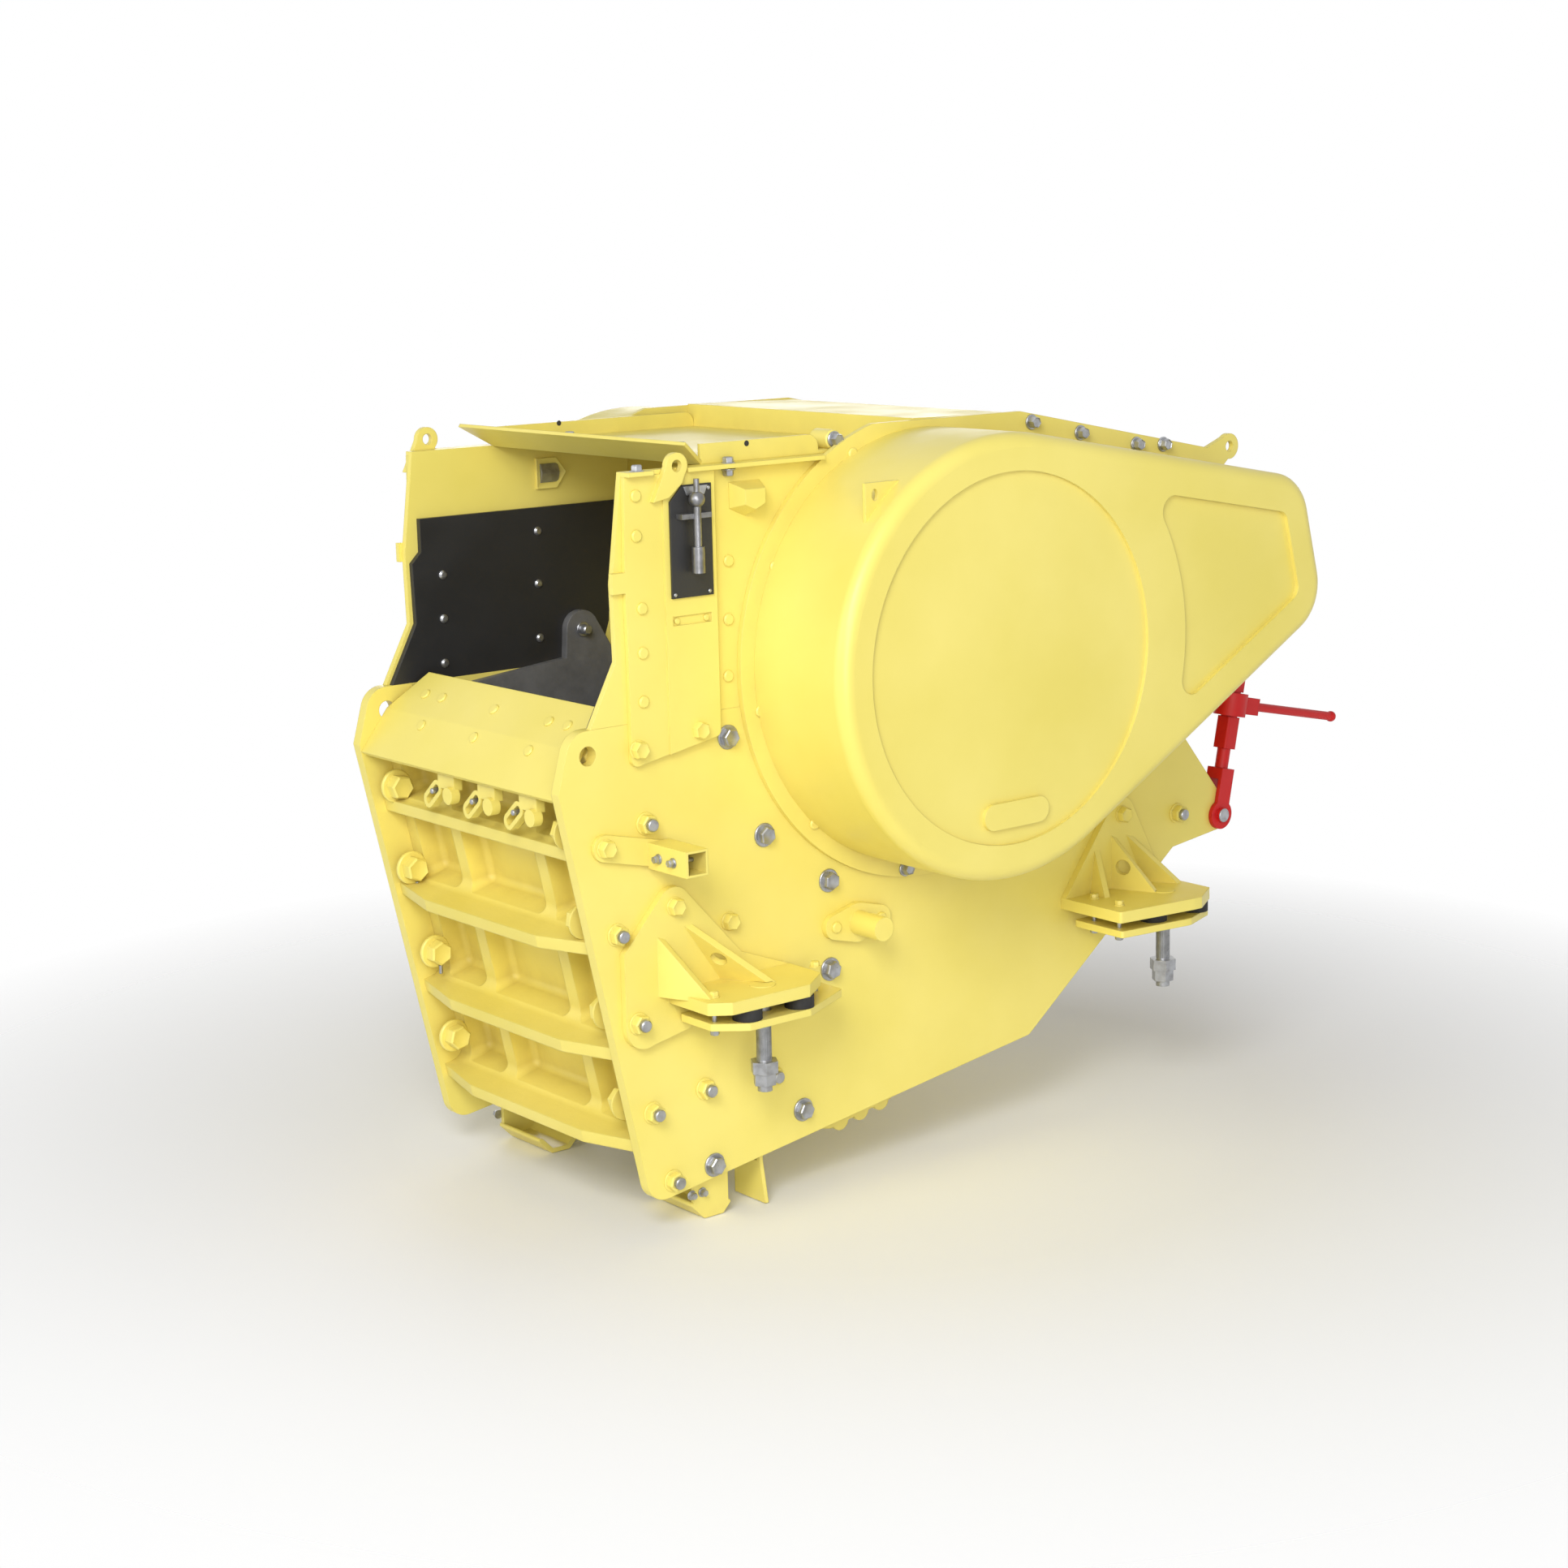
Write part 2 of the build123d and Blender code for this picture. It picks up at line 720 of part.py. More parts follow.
# Cheek plates, against the inner faces of the side plates, each with a lifting ear
cheek_front = front_depth + jaw_base + jaw_tooth + cheek_gap
cheek_low_x, cheek_low_z = front_point(cheek_front, front_bottom + cheek_tail)
cheek_front_down = (front_top_z + cheek_front * sin(lean) - cheek_front_z) / cos(lean)
cheek_top_x, cheek_top_z = front_point(cheek_front, cheek_front_down)
cheek_rear_top = jaw_top + jaw_back * cheek_overlap
cheek_rear_low = cheek_rear_top + jaw_down * ((cheek_rear_top.Y - cheek_low_z) / cos(swing_lean))
cheek_face = make_face(
    Polyline(
        (cheek_low_x, cheek_low_z),
        (cheek_rear_low.X, cheek_rear_low.Y),
        (cheek_rear_top.X, cheek_rear_top.Y),
        (cheek_ear_x + 2 * cheek_ear_radius, cheek_shoulder_z),
        (cheek_ear_x + 0.8 * cheek_ear_radius, cheek_ear_z + 0.6 * cheek_ear_radius),
        (cheek_ear_x - cheek_ear_radius, cheek_ear_z),
        (cheek_shoulder_x, cheek_shoulder_z),
        (cheek_top_x, cheek_top_z),
        close=True,
    )
)
cheek_face += disc(cheek_ear_x, cheek_ear_z, cheek_ear_radius)
cheek_face -= disc(cheek_ear_x, cheek_ear_z, cheek_ear_bore)
save_pair("cheek_plate", slab(cheek_face, -inner_y, -inner_y + cheek_thickness))

# Hopper walls, standing on the side plates' top edges, each with a top flange slit for the lifting lug
hopper_face = make_face(
    Polyline(
        (hopper_front_low_x, deck_z),
        (hopper_knee_x, hopper_knee_z),
        (hopper_clip_x, hopper_clip_z),
        (hopper_top_front_x, hopper_top_z),
        (hopper_rear_x, hopper_top_z),
        (hopper_rear_x, deck_z),
        close=True,
    )
)
wall_y = outer_y - hopper_wall
panel_y = outer_y + panel_thickness
hopper_side = slab(hopper_face - plate_face, -outer_y, -wall_y)
top_flange_length = top_flange_rear_x - hopper_top_front_x
top_flange = Box(
    top_flange_length,
    top_flange_width,
    top_flange_thickness,
    align=(Align.MIN, Align.MAX, Align.MAX),
)
hopper_side += Pos(hopper_top_front_x, -wall_y, hopper_top_z) * top_flange
slit = Box(
    hopper_lug_lead + hopper_lug_radius,
    top_flange_width,
    4 * top_flange_thickness,
    align=(Align.MIN, Align.MAX, Align.CENTER),
)
slit = Pos(hopper_lug_slit - hopper_lug_lead, 0, 0) * slit
slit_y = -panel_y + hopper_lug_slit
save("right_hopper_wall", hopper_side - Pos(right_lug_x, slit_y, hopper_top_z) * slit)
save("left_hopper_wall", left_of(hopper_side - Pos(left_lug_x, slit_y, hopper_top_z) * slit))

# Hopper liners, inside the walls and stepped back above the clips
liner_top_z = hopper_top_z - liner_drop
liner_face = make_face(
    Polyline(
        (hopper_front_low_x + liner_edge, deck_z),
        (hopper_knee_x + liner_edge, hopper_knee_z),
        (hopper_clip_x + liner_edge, hopper_clip_z - liner_step),
        (hopper_clip_x + liner_edge + liner_step, hopper_clip_z),
        (hopper_clip_x + liner_edge + liner_step, liner_top_z),
        (hopper_rear_x, liner_top_z),
        (hopper_rear_x, deck_z),
        close=True,
    )
)
liner = slab(liner_face - plate_face, -wall_y, -wall_y + hopper_liner)
save_pair("hopper_liner", liner)

# Hopper side panels, bolted over the joint of wall and side plate, with a fold, a clip and a lifting lug
panel_high_z = panel_low_z + (panel_rear_x - panel_front_x) * tan(radians(panel_rise))
panel_top_z = hopper_top_z - top_flange_thickness
panel_face = outline(
    (panel_front_x, panel_low_z, 22),
    (panel_rear_x, panel_high_z, 22),
    (panel_rear_x, panel_top_z, 0),
    (hopper_top_front_x, panel_top_z, 0),
    (hopper_clip_x + liner_step, hopper_clip_z, 0),
    (panel_front_x, hopper_knee_z, 0),
)
panel = slab(panel_face, -outer_y, -panel_y)
folded_y = panel_y + panel_fold
behind_fold = Pos(panel_fold_x, hopper_knee_z) * Rectangle(
    panel_rear_x - panel_fold_x, 4 * hopper_knee_z, align=(Align.MIN, Align.CENTER)
)
panel += slab(panel_face & behind_fold, -panel_y, -folded_y)
clip = Box(clip_length, panel_thickness, clip_height, align=(Align.MIN, Align.MAX, Align.MAX))
panel += Pos(hopper_clip_x - clip_reach, -outer_y, hopper_clip_z + clip_rise) * clip
tool_panel_x = panel_rear_x - tool_panel_inset - tool_panel_width / 2
tool_panel_top_z = hopper_top_z - tool_panel_drop
tool_panel_low_z = tool_panel_top_z - tool_panel_height
slot_face = Rectangle(panel_slot_length, panel_slot_height, align=(Align.CENTER, Align.MAX))
panel -= slab(Pos(tool_panel_x, tool_panel_low_z - panel_slot_drop) * slot_face, -panel_y, -folded_y)


def with_lug(lug_x, lug_z):
    """The panel with a ring lug that stands above its top on a slanting leg."""
    leg = Polyline(
        (lug_x - hopper_lug_radius, lug_z),
        (lug_x - hopper_lug_lead, lug_z - hopper_lug_drop),
        (lug_x - 0.35 * hopper_lug_lead, lug_z - 0.9 * hopper_lug_drop),
        (lug_x + 0.5 * hopper_lug_radius, lug_z - 0.5 * hopper_lug_drop),
        (lug_x + hopper_lug_radius, lug_z),
        close=True,
    )
    lug = make_face(leg) + disc(lug_x, lug_z, hopper_lug_radius)
    lug -= disc(lug_x, lug_z, hopper_lug_bore)
    return panel + slab(lug, -panel_y, -panel_y - hopper_lug_thickness)


save("right_hopper_panel", with_lug(right_lug_x, hopper_top_z + right_lug_rise))
save("left_hopper_panel", left_of(with_lug(left_lug_x, hopper_top_z + left_lug_rise)))

# Tool panel on the right side, cut clear of the lug, with its ball-ended rod held in a clip
tool_panel_low_x = tool_panel_x - tool_panel_width / 2
tool_panel_high_x = tool_panel_x + tool_panel_width / 2
tool_panel_face = make_face(
    Polyline(
        (tool_panel_low_x, tool_panel_low_z),
        (tool_panel_high_x, tool_panel_low_z),
        (tool_panel_high_x, tool_panel_top_z),
        (tool_panel_low_x + tool_panel_cut, tool_panel_top_z),
        (tool_panel_low_x, tool_panel_top_z - tool_panel_cut),
        close=True,
    )
)
save("right_tool_panel", slab(tool_panel_face, -folded_y, -folded_y - tool_panel_thickness))
rod_y = folded_y + tool_panel_thickness + 1.2 * tool_ball_radius
downward = (Align.CENTER, Align.CENTER, Align.MAX)
rod = Cylinder(tool_stud_radius, tool_ball_drop, align=downward)
rod += Pos(0, 0, -tool_ball_drop) * Sphere(tool_ball_radius)
rod += Pos(0, 0, -tool_ball_drop) * Cylinder(tool_rod_radius, tool_rod_length - tool_ball_drop, align=downward)
rod += Pos(0, 0, tool_sleeve_length - tool_rod_length) * Cylinder(
    tool_sleeve_radius, tool_sleeve_length, align=downward
)
rod_clip = Box(
    tool_clip_width,
    1.2 * tool_ball_radius,
    tool_clip_height,
    align=(Align.CENTER, Align.MIN, Align.CENTER),
)
rod += Pos(0, 0, -tool_clip_drop) * rod_clip
save("right_tool_rod", Pos(tool_panel_x, -rod_y, tool_panel_low_z + tool_rod_rise + tool_rod_length) * rod)

# Sensor covers, faceted hoods on the outside of both hopper walls
cover_face = Polyline(
    (0, -0.5 * sensor_cover_height),
    (0.5 * sensor_cover_width, -0.25 * sensor_cover_height),
    (0.5 * sensor_cover_width, 0.5 * sensor_cover_height),
    (-0.5 * sensor_cover_width, 0.5 * sensor_cover_height),
    (-0.5 * sensor_cover_width, -0.25 * sensor_cover_height),
    close=True,
)
cover_place = Plane.XZ.offset(outer_y) * Pos(sensor_cover_x, hopper_top_z - sensor_cover_drop) * make_face(cover_face)
save_pair("sensor_cover", extrude(cover_place, amount=sensor_cover_depth, taper=20))

# Hopper tray across the top, with a flared front lip and upturned sides
tray_half = wall_y
tray_length = tray_rear_x - tray_front_x
tray = Box(tray_length, 2 * tray_half, tray_thickness, align=(Align.MIN, Align.CENTER, Align.MIN))
tray = Pos(tray_front_x, 0, hopper_top_z) * tray
flare = radians(tray_lip_angle)
flare_plane = Plane(
    origin=(tray_front_x, 0, hopper_top_z), x_dir=(0, 1, 0), z_dir=(sin(flare), 0, cos(flare))
)
flare_face = make_face(
    Polyline(
        (-tray_half, -tray_thickness / 2),
        (tray_half, -tray_thickness / 2),
        (tray_half, 0),
        (tray_half + tray_lip_flare, tray_lip_length),
        (-tray_half - tray_lip_flare, tray_lip_length),
        (-tray_half, 0),
        close=True,
    )
)
tray += extrude(flare_plane * flare_face, amount=tray_thickness)
for side, length in ((1, tray_length), (-1, tray_near_length)):
    upstand = outline(
        (tray_front_x, hopper_top_z, 0),
        (tray_front_x + length, hopper_top_z, 0),
        (tray_front_x + length, hopper_top_z + tray_side_height, tray_corner),
        (tray_front_x, hopper_top_z + tray_side_height, 0),
    )
    tray += slab(upstand, side * tray_half, side * (tray_half - tray_thickness))
save("hopper_tray", tray)

# Guard back plates, flat against the side plates, with a bolted crest and a lifting lug


def guard_outline(margin):
    """The guard's outline: a large round end run into a small one with two corner rounds."""
    big = disc(shaft_x, shaft_z, guard_radius + margin)
    top = disc(guard_tip_top_x, guard_tip_top_z, guard_tip_top_radius + margin)
    low = disc(guard_tip_low_x, guard_tip_low_z, guard_tip_low_radius + margin)
    return make_hull([*big.edges(), *top.edges(), *low.edges()])


crest_face = make_face(
    Polyline(
        (guard_crest_front_x, shaft_z),
        (guard_crest_front_x, guard_crest_z),
        (guard_crest_x, guard_crest_z),
        (guard_crest_rear_x, guard_crest_rear_z),
        (guard_tip_low_x, guard_tip_low_z),
        close=True,
    )
)
lug_neck = make_face(
    Polyline(
        (guard_crest_rear_x - guard_lug_radius, guard_crest_rear_z),
        (guard_lug_x, guard_lug_z + guard_lug_radius),
        (guard_lug_x + guard_lug_radius, guard_lug_z),
        (guard_tip_top_x, guard_tip_top_z),
        close=True,
    )
)
above_crest = Pos(shaft_x, guard_crest_z + guard_radius) * Rectangle(4 * guard_radius, 2 * guard_radius)
back_face = guard_outline(guard_flange) - above_crest
back_face += crest_face
back_face += lug_neck
back_face += disc(guard_lug_x, guard_lug_z, guard_lug_radius)
back_face -= disc(guard_lug_x, guard_lug_z, guard_lug_bore)
guard_y = outer_y + guard_plate
save_pair("guard_back_plate", slab(back_face, -outer_y, -guard_y))

# Roof cover, a sheet bent over the shaft between the two guard crests and down to the tray's rear edge
roof_z = hopper_top_z + roof_front_height
roof_face = make_face(
    Polyline(
        (tray_rear_x, hopper_top_z),
        (tray_rear_x, roof_z),
        (guard_crest_x, guard_crest_z - roof_drop),
        (guard_crest_rear_x, guard_crest_rear_z - roof_drop),
        (guard_crest_rear_x, guard_crest_rear_z - roof_drop - roof_thickness),
        (guard_crest_x, guard_crest_z - roof_drop - roof_thickness),
        (tray_rear_x + roof_thickness, roof_z - roof_thickness),
        (tray_rear_x + roof_thickness, hopper_top_z),
        close=True,
    )
)
save("roof_cover", slab(roof_face, outer_y, -outer_y))

# Guard covers, closed deep pressings with a stepped round panel and an embossed belt window
guard_face_y = guard_y + guard_depth
cover = slab(guard_outline(0), -guard_y, -guard_face_y)
cover = fillet(cover.faces().sort_by(Axis.Y)[0].edges(), guard_face_round)
cover -= slab(disc(shaft_x, shaft_z, guard_panel_radius), -guard_face_y, -guard_face_y + guard_panel_step)
window_face = guard_outline(-guard_window_margin) - disc(shaft_x, shaft_z, guard_window_radius)
sharp = [
    corner
    for corner in window_face.vertices()
    if abs(hypot(corner.X - shaft_x, corner.Y - shaft_z) - guard_window_radius) < 1
]
window_face = fillet(sharp, guard_window_corner)
cover -= slab(window_face, -guard_face_y, -guard_face_y + guard_window_step)
hatch = Pos(shaft_x, shaft_z - guard_hatch_drop) * SlotOverall(guard_hatch_length, guard_hatch_height)
hatch_floor = -guard_face_y + guard_panel_step
cover += slab(hatch, hatch_floor, hatch_floor - guard_hatch_thickness)
save_pair("guard_cover", cover)

# Mount brackets: a back plate bolted to the side plate, a shelf and leaning gussets
stud_y = outer_y + stud_reach
shelf_low = base_thickness + pad_thickness
shelf_high = shelf_low + bracket_plate
bracket_y = outer_y + bracket_back
front_stud_x = -stud_spacing_x / 2
rear_stud_x = stud_spacing_x / 2


def mount_plan(stud_x, inner, lead, lead_reach, nose, reach, waist, tail, tail_reach):
    """The plan of a base plate or shelf, from its inner edge out past the stud."""
    return make_face(
        FilletPolyline(
            (stud_x - lead, -inner),
            (stud_x - lead, -outer_y - lead_reach),
            (stud_x - nose, -outer_y - reach),
            (stud_x + waist, -outer_y - reach),
            (stud_x + tail, -outer_y - tail_reach),
            (stud_x + tail, -inner),
            radius=base_corner,
            close=True,
        )
    )


def gusset(stud_x, top, top_z, root, foot, foot_reach):
    """A leaning triangular rib from the back plate down to the shelf, by its places from the stud."""
    sink = bracket_back / 2
    corners = (
        (stud_x + top, -bracket_y + sink, top_z),
        (stud_x + root, -bracket_y + sink, shelf_high - sink),
        (stud_x + foot, -outer_y - foot_reach, shelf_high - sink),
    )
    return extrude(make_face(Polyline(*corners, close=True)), amount=bracket_gusset / 2, both=True)


def gusset_hole(rib):
    """A round hole square through a gusset, nearer its upper root."""
    side = rib.faces().sort_by(SortBy.AREA)[-1]
    top = rib.vertices().sort_by(Axis.Z)[-1].center()
    middle = side.center()
    return Plane(middle + (top - middle) * 0.15, z_dir=side.normal_at()) * Cylinder(bracket_hole, 8 * bracket_gusset)


def shelved(back, plan):
    """A back plate with its shelf."""
    return slab(back, -outer_y, -bracket_y) + Pos(0, 0, shelf_low) * extrude(plan, amount=bracket_plate)


def stud_hole(stud_x):
    """The hole for a stud through base plate and shelf, with a recess for its head in the shelf's top."""
    hole = Cylinder(stud_radius + stud_clearance, 2 * shelf_high)
    recess_depth = stud_head + stud_clearance
    recess = Cylinder(stud_head_radius + stud_clearance, recess_depth, align=(Align.CENTER, Align.CENTER, Align.MIN))
    return Pos(stud_x, -stud_y) * (hole + Pos(0, 0, shelf_high - stud_head) * recess)


front_shelf = mount_plan(
    front_stud_x,
    outer_y,
    shelf_front_lead,
    shelf_front_lead_reach,
    shelf_front_nose,
    shelf_front_reach,
    shelf_front_waist,
    shelf_front_tail,
    shelf_front_tail_reach,
)
front_back = make_face(
    Polyline(
        (front_stud_x + shelf_front_tail, shelf_low),
        (front_stud_x + shelf_front_tail, shelf_high),
        (front_shoulder_x, front_shoulder_z),
        (front_bracket_apex_x + 0.7 * bracket_apex_radius, front_bracket_apex_z + 0.7 * bracket_apex_radius),
        (front_bracket_apex_x - 0.8 * bracket_apex_radius, front_bracket_apex_z + 0.6 * bracket_apex_radius),
        (front_toe_x - front_toe_radius, front_knee_z),
        (front_toe_x - front_toe_radius, front_toe_z),
        (front_toe_x, front_toe_z - front_toe_radius),
        (front_toe_x + front_toe_step, front_toe_z - 0.5 * front_toe_radius),
        (front_toe_x + front_toe_step, shelf_low),
        close=True,
    )
)
front_back += disc(front_bracket_apex_x, front_bracket_apex_z, bracket_apex_radius)
front_back += disc(front_toe_x, front_toe_z, front_toe_radius)
front_bracket = shelved(front_back, front_shelf)
front_bracket += gusset(
    front_stud_x, front_rib_top, front_rib_top_z, front_rib_root, front_rib_foot, front_rib_reach
)
holed_rib = gusset(
    front_stud_x, front_brace_top, front_brace_top_z, front_brace_root, front_brace_foot, front_brace_reach
)
front_bracket += holed_rib - gusset_hole(holed_rib)
rear_shelf = mount_plan(
    rear_stud_x,
    outer_y,
    shelf_rear_lead,
    shelf_rear_lead_reach,
    shelf_rear_nose,
    shelf_rear_reach,
    shelf_rear_waist,
    shelf_rear_tail,
    shelf_rear_tail_reach,
)
rear_back = make_face(
    Polyline(
        (rear_stud_x - shelf_rear_lead, shelf_low),
        (rear_stud_x + shelf_rear_tail, shelf_low),
        (rear_stud_x + shelf_rear_tail, shelf_high),
        (rear_bracket_apex_x + 0.8 * bracket_apex_radius, rear_bracket_apex_z + 0.6 * bracket_apex_radius),
        (rear_bracket_apex_x - 0.8 * bracket_apex_radius, rear_bracket_apex_z + 0.6 * bracket_apex_radius),
        (rear_stud_x - shelf_rear_lead, shelf_high),
        close=True,
    )
)
rear_back += disc(rear_bracket_apex_x, rear_bracket_apex_z, bracket_apex_radius)
rear_bracket = shelved(rear_back, rear_shelf)
rear_bracket += gusset(
    rear_stud_x, rear_rib_top, rear_rib_top_z, rear_rib_root, rear_rib_foot, rear_rib_reach
)
holed_rib = gusset(
    rear_stud_x, rear_brace_top, rear_brace_top_z, rear_brace_root, rear_brace_foot, rear_brace_reach
)
rear_bracket += holed_rib - gusset_hole(holed_rib)
rear_bracket += gusset(
    rear_stud_x, rear_tail_top, rear_tail_top_z, rear_tail_root, rear_tail_foot, rear_tail_reach
)
save_pair("front_bracket", front_bracket - stud_hole(front_stud_x))
save_pair("rear_bracket", rear_bracket - stud_hole(rear_stud_x))

# Base plates, rubber pads and studs, one set under each bracket
base_inner = bracket_y + 2 * stud_clearance
front_base = mount_plan(
    front_stud_x,
    base_inner,
    base_front_lead,
    base_front_lead_reach,
    base_front_nose,
    base_front_reach,
    base_front_waist,
    base_front_tail,
    base_front_tail_reach,
)
rear_base = mount_plan(
    rear_stud_x,
    base_inner,
    base_rear_lead,
    base_rear_lead_reach,
    base_rear_nose,
    base_rear_reach,
    base_rear_waist,
    base_rear_tail,
    base_rear_tail_reach,
)
bases = []
pads = []
studs = []
for plan, stud_x in ((front_base, front_stud_x), (rear_base, rear_stud_x)):
    base = extrude(plan, amount=base_thickness)
    base -= stud_hole(stud_x)
    pad = extrude(Pos(stud_x, -stud_y, base_thickness) * Circle(pad_radius), amount=pad_thickness)
    four = [
        Pos(along * pad_pitch_x / 2, across * pad_pitch_y / 2) * pad for along in (1, -1) for across in (1, -1)
    ]
    stud = Cylinder(stud_radius, shelf_high + stud_below, align=(Align.CENTER, Align.CENTER, Align.MAX))
    lock_nut = extrude(RegularPolygon(stud_lock_nut / sqrt(3), 6), amount=stud_nut_height)
    nut = extrude(RegularPolygon(stud_nut / sqrt(3), 6), amount=stud_nut_height)
    head = Cylinder(stud_head_radius, stud_head, align=(Align.CENTER, Align.CENTER, Align.MAX))
    stud = Pos(0, 0, shelf_high) * (stud + head)
    stud += Pos(0, 0, stud_end - stud_below) * lock_nut
    stud += Pos(0, 0, stud_end - stud_below + stud_nut_height) * nut
    stud = Pos(stud_x, -stud_y) * stud
    bases += [base, left_of(base)]
    pads += four + [left_of(one) for one in four]
    studs += [stud, left_of(stud)]
save("mount_base_plates", *bases)
save("mount_rubber_pads", *pads)
save("mount_studs", *studs)

# Trunnions, a two-lobed flange with a stub pin on each side plate
trunnion_face = disc(0, 0, trunnion_flange_radius)
lobes = [disc(side * trunnion_lobe, 0, trunnion_lobe_radius) for side in (1, -1)]
trunnion_face = make_hull([*trunnion_face.edges(), *lobes[0].edges(), *lobes[1].edges()])
trunnion_face = Pos(trunnion_x, trunnion_z) * trunnion_face
trunnion = slab(trunnion_face, -outer_y, -outer_y - trunnion_flange)
trunnion += slab(disc(trunnion_x, trunnion_z, trunnion_radius), -outer_y, -outer_y - trunnion_reach)
save_pair("trunnion", trunnion)

# Square sockets on straps, standing out from the side plates behind the front edge
strap_run = socket_x - socket_bolt_x
socket_z = socket_bolt_z - strap_run * tan(radians(socket_strap_drop))
strap_length = hypot(strap_run, socket_bolt_z - socket_z)
strap_face = SlotCenterToCenter(strap_length, socket_strap_width, rotation=-socket_strap_drop)
strap_face = Pos((socket_bolt_x + socket_x) / 2, (socket_bolt_z + socket_z) / 2) * strap_face
socket = slab(strap_face, -outer_y, -outer_y - socket_strap)
tube_face = Rectangle(socket_size, socket_size) - Rectangle(
    socket_size - 2 * socket_wall, socket_size - 2 * socket_wall
)
socket_end = outer_y + socket_strap + socket_reach
socket += slab(Pos(socket_x, socket_z) * tube_face, -outer_y - socket_strap, -socket_end)
save_pair("tube_socket", socket)

# Ratchet binder: a screw barrel between two forks, leaning back from the rear lug
binder_y = -(inner_y + outer_y) / 2
lug_half = side_plate_thickness / 2
fork_crotch = 2 * rear_lug_radius + binder_block


def on_binder(piece):
    """Leans a piece built up the Z axis from the lower pin to the binder's line."""
    return Pos(rear_lug_x, binder_y, rear_lug_z) * Rot(0, binder_lean, 0) * piece


def fork(up):
    """A fork with round eyes about a lug at the origin, its neck running up or down the Z axis."""
    neck = Pos(0, up * fork_crotch / 2) * Rectangle(binder_neck, fork_crotch)
    cheek = Circle(binder_fork_radius) + neck
    half = lug_half + binder_fork_gap
    piece = slab(cheek, half, half + binder_fork_plate) + slab(cheek, -half, -half - binder_fork_plate)
    yoke = 2 * (half + binder_fork_plate)
    piece += Pos(0, 0, up * fork_crotch) * Box(binder_neck, yoke, binder_block)
    return piece + Rot(90, 0, 0) * Cylinder(binder_pin_radius, yoke + 2 * binder_pin_proud)


upward = (Align.CENTER, Align.CENTER, Align.MIN)
screw_start = fork_crotch + binder_block / 2
lower_screw = Cylinder(binder_screw_radius, binder_barrel_start - screw_start, align=upward)
lower_fork = fork(1) + Pos(0, 0, screw_start) * lower_screw
save("binder_lower_fork", on_binder(lower_fork))
barrel_end = binder_barrel_start + binder_barrel_length
journal_low = ratchet_place - ratchet_height / 2 - ratchet_side_gap
journal_high = ratchet_place + ratchet_height / 2 + ratchet_side_gap
barrel_plan = RectangleRounded(2 * binder_barrel_radius, 2 * binder_barrel_radius, binder_barrel_round)
barrel = Pos(0, 0, binder_barrel_start) * extrude(barrel_plan, amount=journal_low - binder_barrel_start)
barrel += Pos(0, 0, journal_low) * Cylinder(binder_barrel_radius, journal_high - journal_low, align=upward)
barrel += Pos(0, 0, journal_high) * extrude(barrel_plan, amount=barrel_end - journal_high)
save("binder_barrel", on_binder(barrel))
upper_run = binder_length - barrel_end - screw_start
upper_screw = Cylinder(binder_screw_radius, upper_run, align=upward)
upper_fork = Pos(0, 0, binder_length) * fork(-1) + Pos(0, 0, barrel_end) * upper_screw
save("binder_upper_fork", on_binder(upper_fork))

# Binder anchor, a lug plate inside the right guard back plate
binder_tilt = radians(binder_lean)
anchor_x = rear_lug_x + binder_length * sin(binder_tilt)
anchor_z = rear_lug_z + binder_length * cos(binder_tilt)
anchor_face = make_face(
    Polyline(
        (guard_tip_low_x - guard_tip_low_radius, anchor_z),
        (anchor_x, anchor_z - rear_lug_radius),
        (anchor_x + rear_lug_radius, anchor_z),
        (anchor_x, anchor_z + rear_lug_radius),
        (guard_tip_low_x, guard_tip_low_z + guard_tip_low_radius / 2),
        close=True,
    )
)
anchor_face += disc(anchor_x, anchor_z, rear_lug_radius)
anchor_face -= disc(anchor_x, anchor_z, rear_lug_bore)
save("binder_anchor", slab(anchor_face, -outer_y, -inner_y))

# Binder ratchet with its long handle, turning on the barrel's round journal
hub = Cylinder(ratchet_radius, ratchet_height)
hub += Box(
    handle_block_length,
    handle_block_width,
    handle_block_height,
    align=(Align.MIN, Align.CENTER, Align.CENTER),
)
bar_start = handle_block_length - handle_radius
handle = Cylinder(handle_radius, handle_length - bar_start, align=upward)
handle += Pos(0, 0, handle_length - bar_start) * Sphere(handle_ball)
hub += Pos(bar_start, 0, 0) * Rot(0, 90, 0) * handle
hub -= Cylinder(binder_barrel_radius + ratchet_clearance, 2 * ratchet_height)
save("binder_handle", on_binder(Pos(0, 0, ratchet_place) * hub))

# Discharge deflectors, a bent trough and a hanging skirt at the foot of each side plate
deflect = radians(deflector_slope)


def plate_edge_z(lead):
    """The height of the side plates' bottom edge at a distance behind the foot."""
    return foot_z + lead * tan(radians(bottom_rise))


trough_knee = Vector(foot_x + deflector_lead, plate_edge_z(deflector_lead) - deflector_drop)
trough_start = trough_knee + Vector(-cos(deflect), sin(deflect)) * deflector_length
trough_toe = trough_knee + Vector(deflector_toe, 0)
trough_tail = trough_toe + Vector(cos(deflect), sin(deflect)) * deflector_tail
trough_top_z = plate_edge_z(deflector_lead) + deflector_rise
trough_outline = Polyline(trough_start, trough_knee, trough_toe, trough_tail)
trough_face = make_face(offset(trough_outline, amount=deflector_thickness / 2, side=Side.BOTH))
trough = slab(trough_face, -inner_y, -inner_y + deflector_width)
web_outline = Polyline(
    trough_start,
    trough_knee,
    trough_toe,
    trough_tail,
    (trough_tail.X, trough_top_z),
    (trough_start.X, trough_top_z),
    close=True,
)
trough += slab(make_face(web_outline), -inner_y, -inner_y + deflector_thickness)
skirt_edge_z = plate_edge_z(skirt_lead)
